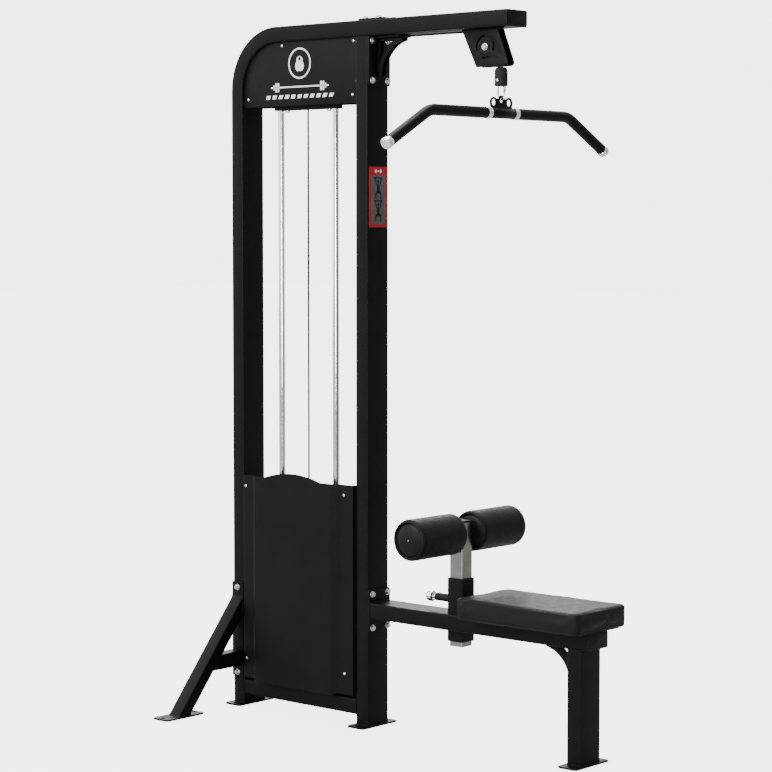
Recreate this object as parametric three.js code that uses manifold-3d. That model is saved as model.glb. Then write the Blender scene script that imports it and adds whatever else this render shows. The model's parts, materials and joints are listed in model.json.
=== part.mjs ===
// Lat pulldown machine: a weight-stack tower with an overhead beam, a cable over two pulleys,
// a hanging pull-down bar, an adjustable pair of thigh rollers and a seat on a low beam.
// Units are millimetres. While the pieces are laid out, x = 0 is the back of the rear upright,
// y = 0 is the plane of symmetry and z = 0 is the floor; the whole group is then moved so that
// its origin is at the centre of its footprint.
import * as THREE from 'three';
import { mergeVertices } from 'three/addons/utils/BufferGeometryUtils.js';
import Module from 'manifold-3d';

const wasm = await Module();
wasm.setup();

// ---------------------------------------------------------------- driving dimensions
const GAP = 0.3;                 // between pieces that touch
const TUBE = { thick: 50, width: 100, wall: 3 };
const HEIGHT = 2250;             // top of the overhead beam
const BEAM_END = 1163;           // front end of the overhead beam, end cap included
const CAP = { thick: 3.7, plug: 14 };
const BEND_RADIUS = 200;         // outside of the bend between rear upright and beam
const FRONT_X = 555;             // back face of the front upright
const BOTTOM_BEAM_Z = 37;        // underside of the bottom beam
const FOOT = { x: 70, y: 170, thick: 6, corner: 15, holeRadius: 6, holeInset: 15 };

const SEAT_BEAM = { bottom: 354, end: 1477 };
const SEAT_POST_X = 1400;
const MOUNT_PLATE = { height: 132, thick: 7.7 };
const SEAT = { rear: 1025, front: 1496, halfWidth: 132, thick: 67, corner: 30 };
const SEAT_PAN = { inset: 18, thick: 4 };

const SLEEVE = { x: 950, size: 60, wall: 4, bottom: 317.5, top: 515.5 };
const POST = { size: 50, wall: 3, bottom: 302, top: 695 };
const POST_HOLES = { count: 6, pitch: 30, first: 386, radius: 6 };
const ROLLER = {
  z: 656, radius: 63.5, bore: 13.5, inner: 40, outer: 251, edge: 10, recess: 19, recessDepth: 9,
};
const AXLE = { radius: 12, head: 16.5, headThick: 4, headInset: 3 };
const POP_PIN = { z: 446, barrel: 12.5, bore: 8.8, length: 68, rod: 5, knob: 17, travel: 12 };

const PULLEY = { radius: 55, cable: 50, halfWidth: 11, bore: 6.8, frontX: 1053 };
const CABLE_RADIUS = 3;
const STACK_X = 302.5;           // centre of the weight stack and of its cable
const CABLE_Z = HEIGHT - TUBE.thick - 6;
const PULLEY_Z = CABLE_Z - PULLEY.cable;
const DROP_X = PULLEY.frontX + PULLEY.cable;
const CHEEK = { inner: 13, thick: 4 };
const CHANNEL = { halfWidth: 6.5, below: 6.5 };

const ROD = { radius: 10, spacing: 242 };
const ROD_BRACKET = { halfLength: 139, halfWidth: 15, bottom: 1980, thick: 20 };
const PLATE = { x: 340, y: 110, pitch: 32, count: 14, lifted: 4, base: 128 };
const STEM_RADIUS = 12;
const PIN = { radius: 5, knob: 14, knobStart: 57.5, knobLength: 22 };
const GUARD = {
  left: 57, footLeft: 107, faceLeft: 121, faceRight: 468, footRight: 482, right: 550,
  flangeY: 60, faceY: 74, sheet: 2, top: 777, bottom: 91, flangeBottom: 98, arch: 20,
};
const GUARD_FAR_DROP = 45;
const PANEL = { y: 40, sheet: 2, bottom: 1992 };
// ribs that stiffen the corners: the arc is centred `out` from one arm and `down` from the other
const RIB = {
  y: 8, thick: 6, length: 106, depth: 116, arm: 8.7, out: 123, down: 114, radius: 105, hole: 119.5,
};
const RIB_FLANGE = 3;

const STABILISER = { footY: 330, plateTop: 414, plateBottom: 97, plateThick: 5.7, leg: 42 };
const LEG_TILT = THREE.MathUtils.degToRad(39.3);
const BRACE = { bottom: 134, height: 50 };

const STOP = {
  radius: 20, cavity: 17, cavityTop: 2057, bottom: 2025, top: 2082, corner: 10, pinZ: 2042, pin: 3.5,
};
const FERRULE = { radius: 6, height: 9 };
const LINK = { radius: 12, wire: 3.5, top: 2049.3, bottom: 1984.5 };
const HANGER = {
  thick: 5, earY: 36.5, earZ: 1975.5, ear: 16.5, earHole: 9.5, eyeZ: 1984.5, eye: 13, eyeHole: 7,
};
const BAR = { z: 1943.5, radius: 17, core: 11, coreEnd: 75, bendY: 332, bendRadius: 90 };
const BAR_TIP = { y: 510, z: 1847, cap: 24, capRadius: 18 };
const COLLAR = { inner: 56.3, outer: 74, radius: 18 };
const HUB = { radius: 16, bore: 11.7, halfLength: 55.7 };
const PLACARD = { width: 85, bottom: 1599.5, top: 1791, thick: 1.8 };

// ---------------------------------------------------------------- materials
const paint = new THREE.MeshStandardMaterial({ color: 0x1b1b1c, roughness: 0.45, metalness: 0.3 });
const sheet = new THREE.MeshStandardMaterial({ color: 0x1f1f20, roughness: 0.5, metalness: 0.3 });
const plastic = new THREE.MeshStandardMaterial({ color: 0x141414, roughness: 0.6, metalness: 0 });
const chrome = new THREE.MeshStandardMaterial({ color: 0xd8d8da, roughness: 0.15, metalness: 1 });
const zinc = new THREE.MeshStandardMaterial({ color: 0xb9babb, roughness: 0.35, metalness: 0.9 });
const castIron = new THREE.MeshStandardMaterial({ color: 0x2b2b2d, roughness: 0.7, metalness: 0.4 });
const foam = new THREE.MeshStandardMaterial({ color: 0x151515, roughness: 0.75, metalness: 0 });
const leather = new THREE.MeshStandardMaterial({ color: 0x191919, roughness: 0.55, metalness: 0 });
const cableCoat = new THREE.MeshStandardMaterial({ color: 0x101010, roughness: 0.4, metalness: 0 });
const red = new THREE.MeshStandardMaterial({ color: 0xb51e22, roughness: 0.45, metalness: 0 });

const machine = new THREE.Group();

function add(name, geometry, material, position = [0, 0, 0]) {
  const mesh = new THREE.Mesh(geometry, material);
  mesh.name = name;
  mesh.position.set(...position);
  machine.add(mesh);
}

// ---------------------------------------------------------------- solids and booleans
function toSolid(geometry) {
  const bare = geometry.index ? geometry.toNonIndexed() : geometry.clone();
  bare.deleteAttribute('normal');
  bare.deleteAttribute('uv');
  const merged = mergeVertices(bare, 1e-4);
  const vertProperties = new Float32Array(merged.attributes.position.array);
  const triVerts = new Uint32Array(merged.index.array);
  return new wasm.Manifold(new wasm.Mesh({ numProp: 3, vertProperties, triVerts }));
}

function toGeometry(solid) {
  const mesh = solid.getMesh();
  const geometry = new THREE.BufferGeometry();
  geometry.setAttribute('position', new THREE.BufferAttribute(mesh.vertProperties, 3));
  geometry.setIndex(new THREE.BufferAttribute(mesh.triVerts, 1));
  return geometry;
}

function join(first, ...others) {
  return others.reduce((solid, other) => solid.add(other), first);
}

function cut(first, ...others) {
  return others.reduce((solid, other) => solid.subtract(other), first);
}

// a box given by its low and high corners
function block(low, high) {
  const geometry = new THREE.BoxGeometry(high[0] - low[0], high[1] - low[1], high[2] - low[2]);
  geometry.translate((low[0] + high[0]) / 2, (low[1] + high[1]) / 2, (low[2] + high[2]) / 2);
  return geometry;
}

function blockSolid(low, high) {
  return toSolid(block(low, high));
}

// a round bar along 'x', 'y' or 'z' from start to end, centred on (a, b) in the other two axes
function rod(axis, radius, start, end, a, b, sides = 16) {
  const geometry = new THREE.CylinderGeometry(radius, radius, end - start, sides);
  const middle = (start + end) / 2;
  if (axis === 'x') geometry.rotateZ(Math.PI / 2).translate(middle, a, b);
  if (axis === 'y') geometry.translate(a, middle, b);
  if (axis === 'z') geometry.rotateX(Math.PI / 2).translate(a, b, middle);
  return geometry;
}

function rodSolid(...args) {
  return toSolid(rod(...args));
}

// a turned piece about a line parallel to y: the profile is a list of [radius, y]
function turned(profile, sides = 24) {
  return new THREE.LatheGeometry(profile.map(([r, y]) => new THREE.Vector2(r, y)), sides);
}

function extrude(shape, depth, curveSegments) {
  return new THREE.ExtrudeGeometry(shape, { depth, bevelEnabled: false, curveSegments });
}

// an outline in the xz plane, extruded along y between low and high
function slabXZ(shape, low, high, curveSegments = 12) {
  const geometry = extrude(shape, high - low, curveSegments);
  geometry.rotateX(Math.PI / 2);
  geometry.translate(0, high, 0);
  return geometry;
}

// an outline in the xy plane, extruded along z between low and high
function slabXY(shape, low, high, curveSegments = 6) {
  const geometry = extrude(shape, high - low, curveSegments);
  geometry.translate(0, 0, low);
  return geometry;
}

// an outline in the yz plane, extruded along x between low and high
function slabYZ(shape, low, high, curveSegments = 8) {
  const geometry = extrude(shape, high - low, curveSegments);
  geometry.rotateY(Math.PI / 2);
  geometry.rotateX(Math.PI / 2);
  geometry.translate(low, 0, 0);
  return geometry;
}

function polygon(points) {
  return new THREE.Shape(points.map(([x, y]) => new THREE.Vector2(x, y)));
}

function roundHole(x, z, radius) {
  const hole = new THREE.Path();
  hole.absarc(x, z, radius, 0, Math.PI * 2, true);
  return hole;
}

function roundedRect(x0, y0, x1, y1, r) {
  const shape = new THREE.Shape();
  shape.moveTo(x0 + r, y0);
  shape.lineTo(x1 - r, y0);
  shape.absarc(x1 - r, y0 + r, r, -Math.PI / 2, 0, false);
  shape.lineTo(x1, y1 - r);
  shape.absarc(x1 - r, y1 - r, r, 0, Math.PI / 2, false);
  shape.lineTo(x0 + r, y1);
  shape.absarc(x0 + r, y1 - r, r, Math.PI / 2, Math.PI, false);
  shape.lineTo(x0, y0 + r);
  shape.absarc(x0 + r, y0 + r, r, Math.PI, Math.PI * 1.5, false);
  return shape;
}

// an upright rectangular tube, open at both ends
function uprightTube(x0, x1, halfY, wall, bottom, top) {
  const shape = polygon([[x0, -halfY], [x1, -halfY], [x1, halfY], [x0, halfY]]);
  const inner = halfY - wall;
  shape.holes.push(polygon([
    [x0 + wall, -inner], [x0 + wall, inner], [x1 - wall, inner], [x1 - wall, -inner],
  ]));
  return slabXY(shape, bottom, top);
}

// a level rectangular tube along x, open at both ends
function levelTube(x0, x1, halfY, z0, z1, wall) {
  const outer = blockSolid([x0, -halfY, z0], [x1, halfY, z1]);
  return cut(outer, blockSolid([x0 - 1, -halfY + wall, z0 + wall], [x1 + 1, halfY - wall, z1 - wall]));
}

// ---------------------------------------------------------------- frame
// the side view of the rear upright and the beam, shrunk all round by `inset`
function bentOutline(inset, bottom, end) {
  const outer = BEND_RADIUS - inset;
  const inner = BEND_RADIUS - TUBE.thick + inset;
  const centreZ = HEIGHT - BEND_RADIUS;
  const shape = new THREE.Shape();
  shape.moveTo(inset, bottom);
  shape.lineTo(TUBE.thick - inset, bottom);
  shape.lineTo(TUBE.thick - inset, centreZ);
  shape.absarc(BEND_RADIUS, centreZ, inner, Math.PI, Math.PI / 2, true);
  shape.lineTo(end, HEIGHT - TUBE.thick + inset);
  shape.lineTo(end, HEIGHT - inset);
  shape.lineTo(BEND_RADIUS, HEIGHT - inset);
  shape.absarc(BEND_RADIUS, centreZ, outer, Math.PI / 2, Math.PI, false);
  return shape;
}

function makeMainTube() {
  const half = TUBE.width / 2;
  const end = BEAM_END - CAP.thick - GAP;
  const bottom = FOOT.thick + GAP;
  const halfInner = half - TUBE.wall;
  const outer = toSolid(slabXZ(bentOutline(0, bottom, end), -half, half, 10));
  const inner = toSolid(slabXZ(bentOutline(TUBE.wall, bottom - 1, end + 1), -halfInner, halfInner, 10));
  add('main_tube', toGeometry(cut(outer, inner)), paint);
}

// the plastic cap in the open end of a level tube whose end is at x = end
function makeEndCap(name, end, z0) {
  const half = TUBE.width / 2;
  const inset = TUBE.wall + GAP;
  const faceX = end - CAP.thick;
  const face = blockSolid([faceX, -half, z0], [end, half, z0 + TUBE.thick]);
  const plug = blockSolid(
    [faceX - CAP.plug, -half + inset, z0 + inset],
    [faceX + 1, half - inset, z0 + TUBE.thick - inset],
  );
  add(name, toGeometry(join(face, plug)), plastic);
}

// clearance for the cable where it runs just under the beam
function cableChannel(x0, x1) {
  return blockSolid(
    [x0, -CHANNEL.halfWidth, CABLE_Z - CHANNEL.below],
    [x1, CHANNEL.halfWidth, HEIGHT - TUBE.thick + 1],
  );
}

function makeFrontUpright() {
  const tube = toSolid(uprightTube(
    FRONT_X, FRONT_X + TUBE.thick, TUBE.width / 2, TUBE.wall, FOOT.thick + GAP, HEIGHT - TUBE.thick - GAP));
  add('front_upright', toGeometry(cut(tube, cableChannel(FRONT_X - 1, FRONT_X + TUBE.thick + 1))), paint);
}

function makeBottomBeam() {
  const z1 = BOTTOM_BEAM_Z + TUBE.thick;
  const tube = levelTube(TUBE.thick + GAP, FRONT_X - GAP, TUBE.width / 2, BOTTOM_BEAM_Z, z1, TUBE.wall);
  add('bottom_beam', toGeometry(tube), paint);
}

function footPlate(centreX, centreY) {
  const shape = roundedRect(-FOOT.x / 2, -FOOT.y / 2, FOOT.x / 2, FOOT.y / 2, FOOT.corner);
  for (const side of [-1, 1]) {
    shape.holes.push(roundHole(0, side * (FOOT.y / 2 - FOOT.holeInset), FOOT.holeRadius));
  }
  return slabXY(shape, 0, FOOT.thick, 4).translate(centreX, centreY, 0);
}

// side = -1 is the side nearer to a viewer standing at -y, +1 the other
function makeStabiliser(name, side) {
  const plateY = TUBE.width / 2 + GAP;
  const innerY = plateY + STABILISER.plateThick;
  const plate = blockSolid(
    [0, plateY, STABILISER.plateBottom], [TUBE.thick, innerY, STABILISER.plateTop]);
  const leg = new THREE.BoxGeometry(TUBE.thick, STABILISER.leg, 900);
  leg.rotateX(LEG_TILT);
  leg.translate(TUBE.thick / 2, STABILISER.footY, 0);
  const room = blockSolid([-1, innerY - 1, FOOT.thick - 1], [TUBE.thick + 1, 600, 500]);
  const trimmedLeg = toSolid(leg).intersect(room);
  const braceEnd = STABILISER.footY - BRACE.bottom * Math.tan(LEG_TILT);
  const brace = blockSolid(
    [0, innerY - 1, BRACE.bottom], [TUBE.thick, braceEnd - 20, BRACE.bottom + BRACE.height]);
  const foot = toSolid(footPlate(TUBE.thick / 2, STABILISER.footY));
  const geometry = toGeometry(join(plate, trimmedLeg, brace, foot));
  if (side < 0) geometry.rotateZ(Math.PI).translate(TUBE.thick, 0, 0);
  add(name, geometry, paint);
}

// one corner rib in the xz plane, its corner at the origin and its arms along +x and -z
function ribOutline() {
  const r = RIB;
  const tip = Math.sqrt(r.radius ** 2 - (r.out - r.length) ** 2);
  const shape = new THREE.Shape();
  shape.moveTo(0, 0);
  shape.lineTo(0, -r.depth);
  shape.lineTo(r.out - r.radius, -r.depth);
  shape.lineTo(r.out - r.radius, -r.down);
  shape.absarc(r.out, -r.down, r.radius, Math.PI, Math.atan2(tip, r.length - r.out), true);
  shape.lineTo(r.length, 0);
  return shape;
}

// the opening between the two arms and the arc
function ribHole() {
  const r = RIB;
  const reach = Math.sqrt(r.hole ** 2 - (r.down - r.arm) ** 2);
  const drop = Math.sqrt(r.hole ** 2 - (r.out - r.arm) ** 2);
  const hole = new THREE.Path();
  hole.moveTo(r.arm, -r.arm);
  hole.lineTo(r.out - reach, -r.arm);
  hole.absarc(
    r.out, -r.down, r.hole, Math.atan2(r.down - r.arm, -reach), Math.atan2(drop, r.arm - r.out), false);
  return hole;
}

// a pair of ribs, joined by a flange along each arm
function ribPair() {
  const shape = ribOutline();
  shape.holes.push(ribHole());
  const outer = RIB.y + RIB.thick;
  const rib = toSolid(slabXZ(shape, RIB.y, outer, 10));
  const along = blockSolid([0, -outer, -RIB_FLANGE], [RIB.length, outer, 0]);
  const down = blockSolid([0, -outer, -RIB.depth], [RIB_FLANGE, outer, 0]);
  return join(rib, rib.translate([0, -outer - RIB.y, 0]), along, down);
}

function makeTopGusset() {
  const x0 = FRONT_X + TUBE.thick + GAP;
  const x1 = x0 + MOUNT_PLATE.thick;
  const beamZ = HEIGHT - TUBE.thick - GAP;
  const flangeZ = beamZ - MOUNT_PLATE.thick;
  const plate = blockSolid([x0, -TUBE.width / 2, 2044], [x1, TUBE.width / 2, beamZ]);
  const flange = blockSolid([x0, -30, flangeZ], [x1 + RIB.length, 30, beamZ]);
  const bracket = join(plate, flange, ribPair().translate([x1 - 0.5, 0, flangeZ + 0.5]));
  add('top_gusset', toGeometry(cut(bracket, cableChannel(x0 - 1, x1 + RIB.length + 1))), paint);
}

function makeBeamClampPlate() {
  const z = HEIGHT + GAP;
  add('beam_clamp_plate', block([560, -46, z], [670, 46, z + 4.7]), paint);
}

// ---------------------------------------------------------------- seat side
function makeSeatBeam() {
  const x0 = FRONT_X + TUBE.thick + GAP;
  const x1 = x0 + MOUNT_PLATE.thick;
  const top = SEAT_BEAM.bottom + TUBE.thick;
  const middle = SEAT_BEAM.bottom + TUBE.thick / 2;
  const end = SEAT_BEAM.end - CAP.thick - GAP;
  const reach = MOUNT_PLATE.height / 2;
  const plate = blockSolid(
    [x0, -TUBE.width / 2, middle - reach], [x1, TUBE.width / 2, middle + reach]);
  const tube = levelTube(x1 - 1, end, TUBE.width / 2, SEAT_BEAM.bottom, top, TUBE.wall);
  const half = SLEEVE.size / 2 + GAP;
  const hole = blockSolid(
    [SLEEVE.x - half, -half, SEAT_BEAM.bottom - 1], [SLEEVE.x + half, half, top + 1]);
  add('seat_beam', toGeometry(cut(join(plate, tube), hole)), paint);
}

function makeSeatPost() {
  const x1 = SEAT_POST_X + TUBE.thick;
  const top = SEAT_BEAM.bottom - GAP;
  const tube = uprightTube(SEAT_POST_X, x1, TUBE.width / 2, TUBE.wall, FOOT.thick + GAP, top);
  add('seat_post', tube, paint);
}

// the ribs under the seat face the other way, from the back of the seat post
function makeSeatGusset() {
  const ribs = toGeometry(ribPair()).rotateZ(Math.PI);
  add('seat_gusset', ribs, paint, [SEAT_POST_X - GAP, 0, SEAT_BEAM.bottom - GAP]);
}

function makeSeat() {
  const panZ = SEAT_BEAM.bottom + TUBE.thick + GAP;
  const inset = SEAT_PAN.inset;
  const pan = roundedRect(
    SEAT.rear + inset, -SEAT.halfWidth + inset, SEAT.front - inset, SEAT.halfWidth - inset, SEAT.corner - 8);
  add('seat_pan', slabXY(pan, panZ, panZ + SEAT_PAN.thick, 4), paint);
  const padZ = panZ + SEAT_PAN.thick + GAP;
  const pad = roundedRect(SEAT.rear, -SEAT.halfWidth, SEAT.front, SEAT.halfWidth, SEAT.corner);
  add('seat_pad', slabXY(pad, padZ, padZ + SEAT.thick, 6), leather);
}

function makeThighHold() {
  const sleeveHalf = SLEEVE.size / 2;
  const sleeve = toSolid(uprightTube(
    SLEEVE.x - sleeveHalf, SLEEVE.x + sleeveHalf, sleeveHalf, SLEEVE.wall, SLEEVE.bottom, SLEEVE.top));
  const pinHole = rodSolid('x', POP_PIN.rod + 1, SLEEVE.x - sleeveHalf - 1, SLEEVE.x - 20, 0, POP_PIN.z, 12);
  add('post_sleeve', toGeometry(cut(sleeve, pinHole)), paint);

  const half = POST.size / 2;
  const post = toSolid(uprightTube(SLEEVE.x - half, SLEEVE.x + half, half, POST.wall, POST.bottom, POST.top));
  const axleHole = rodSolid('y', AXLE.radius + 0.4, -half - 1, half + 1, SLEEVE.x, ROLLER.z, 16);
  const rack = [];
  for (let i = 0; i < POST_HOLES.count; i += 1) {
    const z = POST_HOLES.first + i * POST_HOLES.pitch;
    rack.push(rodSolid('x', POST_HOLES.radius, SLEEVE.x - half - 1, SLEEVE.x, 0, z, 10));
  }
  add('thigh_post', toGeometry(cut(post, axleHole, ...rack)), chrome);

  // the axle's heads sit in a recess in the outer end of each roller
  const headEnd = ROLLER.outer - AXLE.headInset;
  const headStart = headEnd - AXLE.headThick;
  const axle = turned([
    [0, -headEnd], [AXLE.head, -headEnd], [AXLE.head, -headStart], [AXLE.radius, -headStart],
    [AXLE.radius, headStart], [AXLE.head, headStart], [AXLE.head, headEnd], [0, headEnd],
  ], 16);
  add('roller_axle', axle, zinc, [SLEEVE.x, 0, ROLLER.z]);

  const r = ROLLER;
  const length = r.outer - r.inner;
  const roller = turned([
    [r.bore, 0], [r.radius - r.edge, 0], [r.radius - 3, 3], [r.radius, r.edge],
    [r.radius, length - r.edge], [r.radius - 3, length - 3], [r.radius - r.edge, length],
    [r.recess, length], [r.recess, length - r.recessDepth], [r.bore, length - r.recessDepth], [r.bore, 0],
  ], 28);
  add('roller_far', roller, foam, [SLEEVE.x, r.inner, r.z]);
  add('roller_near', roller.clone().rotateZ(Math.PI), foam, [SLEEVE.x, -r.inner, r.z]);
}

// the pull pin that locks the thigh post: its turned profiles run along -x from the sleeve's back face
function makePopPin() {
  const face = SLEEVE.x - SLEEVE.size / 2 - GAP;
  const barrel = turned([
    [POP_PIN.bore, 0], [POP_PIN.barrel, 0], [POP_PIN.barrel, POP_PIN.length - 2],
    [POP_PIN.barrel - 2, POP_PIN.length], [POP_PIN.bore, POP_PIN.length], [POP_PIN.bore, 0],
  ], 16);
  barrel.rotateZ(Math.PI / 2);
  add('pop_pin_barrel', barrel, plastic, [face, 0, POP_PIN.z]);

  const neck = POP_PIN.length - 20;
  const knobStart = POP_PIN.length + 12;
  const plunger = turned([
    [0, -3.5], [POP_PIN.rod, -2], [POP_PIN.rod, neck], [8, neck], [8, knobStart],
    [POP_PIN.knob - 3, knobStart], [POP_PIN.knob, knobStart + 4], [POP_PIN.knob, knobStart + 14],
    [POP_PIN.knob - 5, knobStart + 21], [0, knobStart + 24],
  ], 16);
  plunger.rotateZ(Math.PI / 2);
  add('pop_pin_plunger', plunger, chrome, [face, 0, POP_PIN.z]);
}

// ---------------------------------------------------------------- tower: guards, rods, panels
function guardPlan() {
  const g = GUARD;
  const tab = 20;
  const start = TUBE.thick + GAP;
  const end = FRONT_X - GAP;
  const outside = [
    [start, -5], [start, -tab], [g.left, -tab], [g.left, -g.flangeY], [g.footLeft, -g.flangeY],
    [g.faceLeft, -g.faceY], [g.faceRight, -g.faceY], [g.footRight, -g.flangeY], [g.right, -g.flangeY],
    [g.right, -tab], [end, -tab], [end, -5],
  ];
  const t = g.sheet;
  const inside = [
    [end - t, -5], [end - t, -tab + t], [g.right - t, -tab + t], [g.right - t, -g.flangeY + t],
    [g.footRight - t, -g.flangeY + t], [g.faceRight - t, -g.faceY + t], [g.faceLeft + t, -g.faceY + t],
    [g.footLeft + t, -g.flangeY + t], [g.left + t, -g.flangeY + t], [g.left + t, -tab + t],
    [start + t, -tab + t], [start + t, -5],
  ];
  return polygon([...outside, ...inside]);
}

// the guard's front view: flat top with a low arch over the raised face
function guardFront(top) {
  const g = GUARD;
  const halfChord = 124.5;
  const middle = (g.faceLeft + g.faceRight) / 2;
  const archRadius = (halfChord ** 2 + g.arch ** 2) / (2 * g.arch);
  const spread = Math.asin(halfChord / archRadius);
  const shape = new THREE.Shape();
  shape.moveTo(40, g.flangeBottom);
  shape.lineTo(g.footLeft, g.flangeBottom);
  shape.lineTo(g.faceLeft, g.bottom);
  shape.lineTo(g.faceRight, g.bottom);
  shape.lineTo(g.footRight, g.flangeBottom);
  shape.lineTo(565, g.flangeBottom);
  shape.lineTo(565, top);
  const up = Math.PI / 2;
  shape.absarc(middle, top + g.arch - archRadius, archRadius, up - spread, up + spread, false);
  shape.lineTo(40, top);
  return shape;
}

function guardSolid(top) {
  const plan = toSolid(slabXY(guardPlan(), GUARD.bottom - 5, top + GUARD.arch + 5));
  return plan.intersect(toSolid(slabXZ(guardFront(top), -100, 10, 8)));
}

function makeGuards() {
  add('guard_near', toGeometry(guardSolid(GUARD.top)), sheet);
  // the far guard is the same sheet turned round, with a slot for setting the selector pin
  const far = toGeometry(guardSolid(GUARD.top - GUARD_FAR_DROP));
  far.rotateZ(Math.PI).translate(TUBE.thick + FRONT_X, 0, 0);
  const slot = blockSolid([STACK_X - 30, 50, 140], [STACK_X + 30, 90, GUARD.top + 60]);
  add('guard_far', toGeometry(cut(toSolid(far), slot)), sheet);
}

// the closing panels of the tower head follow the inside of the bend
function makeHeadPanels() {
  const x0 = TUBE.thick + GAP;
  const x1 = FRONT_X - GAP;
  const top = HEIGHT - TUBE.thick - GAP;
  const r = BEND_RADIUS - TUBE.thick - GAP;
  const shape = new THREE.Shape();
  shape.moveTo(x0, PANEL.bottom);
  shape.lineTo(x1, PANEL.bottom);
  shape.lineTo(x1, top);
  shape.lineTo(x0 + r, top);
  shape.absarc(x0 + r, top - r, r, Math.PI / 2, Math.PI, false);
  add('head_panel_near', slabXZ(shape, -PANEL.y, -PANEL.y + PANEL.sheet, 10), sheet);
  add('head_panel_far', slabXZ(shape, PANEL.y - PANEL.sheet, PANEL.y, 10), sheet);
}

function makeRods() {
  const b = ROD_BRACKET;
  const bracket = blockSolid(
    [STACK_X - b.halfLength, -b.halfWidth, b.bottom],
    [STACK_X + b.halfLength, b.halfWidth, b.bottom + b.thick],
  );
  const holes = [rodSolid('z', 9, b.bottom - 1, b.bottom + b.thick + 1, STACK_X, 0, 12)];
  for (const side of [-1, 1]) {
    const x = STACK_X + side * ROD.spacing / 2;
    holes.push(rodSolid('z', ROD.radius + 0.5, b.bottom - 1, b.bottom + b.thick + 1, x, 0));
    const name = side < 0 ? 'guide_rod_rear' : 'guide_rod_front';
    const low = BOTTOM_BEAM_Z + TUBE.thick + GAP;
    add(name, rod('z', ROD.radius, low, b.bottom + b.thick, x, 0), chrome);
  }
  add('rod_bracket', toGeometry(cut(bracket, ...holes)), paint);
}

// ---------------------------------------------------------------- weight stack
function plateHoles(z0, z1) {
  const holes = [rodSolid('z', STEM_RADIUS + 2, z0 - 1, z1 + 1, STACK_X, 0, 12)];
  for (const side of [-1, 1]) {
    holes.push(rodSolid('z', ROD.radius + 2, z0 - 1, z1 + 1, STACK_X + side * ROD.spacing / 2, 0, 12));
  }
  return holes;
}

function pinHole(z) {
  return rodSolid('y', PIN.radius + 1.2, 0, PLATE.y / 2 + 1, STACK_X, z, 6);
}

function plateBlock(z0, z1) {
  return blockSolid([STACK_X - PLATE.x / 2, -PLATE.y / 2, z0], [STACK_X + PLATE.x / 2, PLATE.y / 2, z1]);
}

function plateTop(numberFromTop) {
  return PLATE.base + (PLATE.count - numberFromTop + 1) * PLATE.pitch;
}

function makeStack() {
  const base = BOTTOM_BEAM_Z + TUBE.thick + GAP;
  const bumper = blockSolid([STACK_X - 150, -40, base], [STACK_X + 150, 40, PLATE.base - GAP]);
  add('stack_bumper', toGeometry(cut(bumper, ...plateHoles(base, PLATE.base))), plastic);

  for (let i = 1; i <= PLATE.lifted; i += 1) {
    const z1 = plateTop(i) - GAP;
    const z0 = plateTop(i + 1);
    const holes = [...plateHoles(z0, z1), pinHole((z0 + z1) / 2)];
    add(`weight_plate_${i}`, toGeometry(cut(plateBlock(z0, z1), ...holes)), castIron);
  }

  // the plates that stay down are one solid with a groove at each joint
  const restTop = plateTop(PLATE.lifted + 1) - GAP;
  const resting = [...plateHoles(PLATE.base, restTop)];
  for (let i = PLATE.lifted + 1; i <= PLATE.count; i += 1) {
    const z = plateTop(i);
    resting.push(pinHole(z - PLATE.pitch / 2));
    if (i > PLATE.lifted + 1) {
      const groove = plateBlock(z - 0.8, z + 0.8);
      const halfX = PLATE.x / 2 - 5;
      const halfY = PLATE.y / 2 - 5;
      const core = blockSolid([STACK_X - halfX, -halfY, z - 2], [STACK_X + halfX, halfY, z + 2]);
      resting.push(cut(groove, core));
    }
  }
  add('resting_plates', toGeometry(cut(plateBlock(PLATE.base, restTop), ...resting)), castIron);

  const headZ = plateTop(1);
  const headTop = headZ + 28;
  const boss = rodSolid('z', 15, headTop - 1, headTop + 38, STACK_X, 0, 16);
  const collarX = [STACK_X - ROD.spacing / 2, STACK_X + ROD.spacing / 2];
  const collars = collarX.map((x) => rodSolid('z', 21, headTop - 1, headTop + 30, x, 0));
  const rodHoles = plateHoles(headZ, headTop + 40).slice(1);
  const head = join(plateBlock(headZ, headTop), boss, ...collars);
  add('head_plate', toGeometry(cut(head, ...rodHoles)), castIron);

  const stem = rodSolid('z', STEM_RADIUS, PLATE.base + 4, headZ - GAP, STACK_X, 0, 10);
  const stemHoles = [];
  for (let i = 1; i <= PLATE.count; i += 1) {
    stemHoles.push(rodSolid('y', PIN.radius + 1.2, -20, 20, STACK_X, plateTop(i) - PLATE.pitch / 2, 6));
  }
  add('selector_stem', toGeometry(cut(stem, ...stemHoles)), zinc);

  const knobEnd = PIN.knobStart + PIN.knobLength;
  const pin = turned([
    [0, -13], [PIN.radius, -11], [PIN.radius, PIN.knobStart], [PIN.knob - 2, PIN.knobStart],
    [PIN.knob, PIN.knobStart + 3], [PIN.knob, knobEnd - 4], [PIN.knob - 4, knobEnd], [0, knobEnd],
  ], 12);
  add('selector_pin', pin, red, [STACK_X, 0, plateTop(PLATE.lifted) - PLATE.pitch / 2]);
  return headTop + 38;
}

// ---------------------------------------------------------------- pulleys and cable
function makePulley(name, x) {
  const h = PULLEY.halfWidth;
  const groove = PULLEY.cable - CABLE_RADIUS - 1;
  const profile = [
    [PULLEY.bore, -h], [PULLEY.radius, -h], [PULLEY.radius, -h + 2.5], [groove, -3],
    [groove, 3], [PULLEY.radius, h - 2.5], [PULLEY.radius, h], [PULLEY.bore, h], [PULLEY.bore, -h],
  ];
  add(name, turned(profile, 24), plastic, [x, 0, PULLEY_Z]);
}

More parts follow.
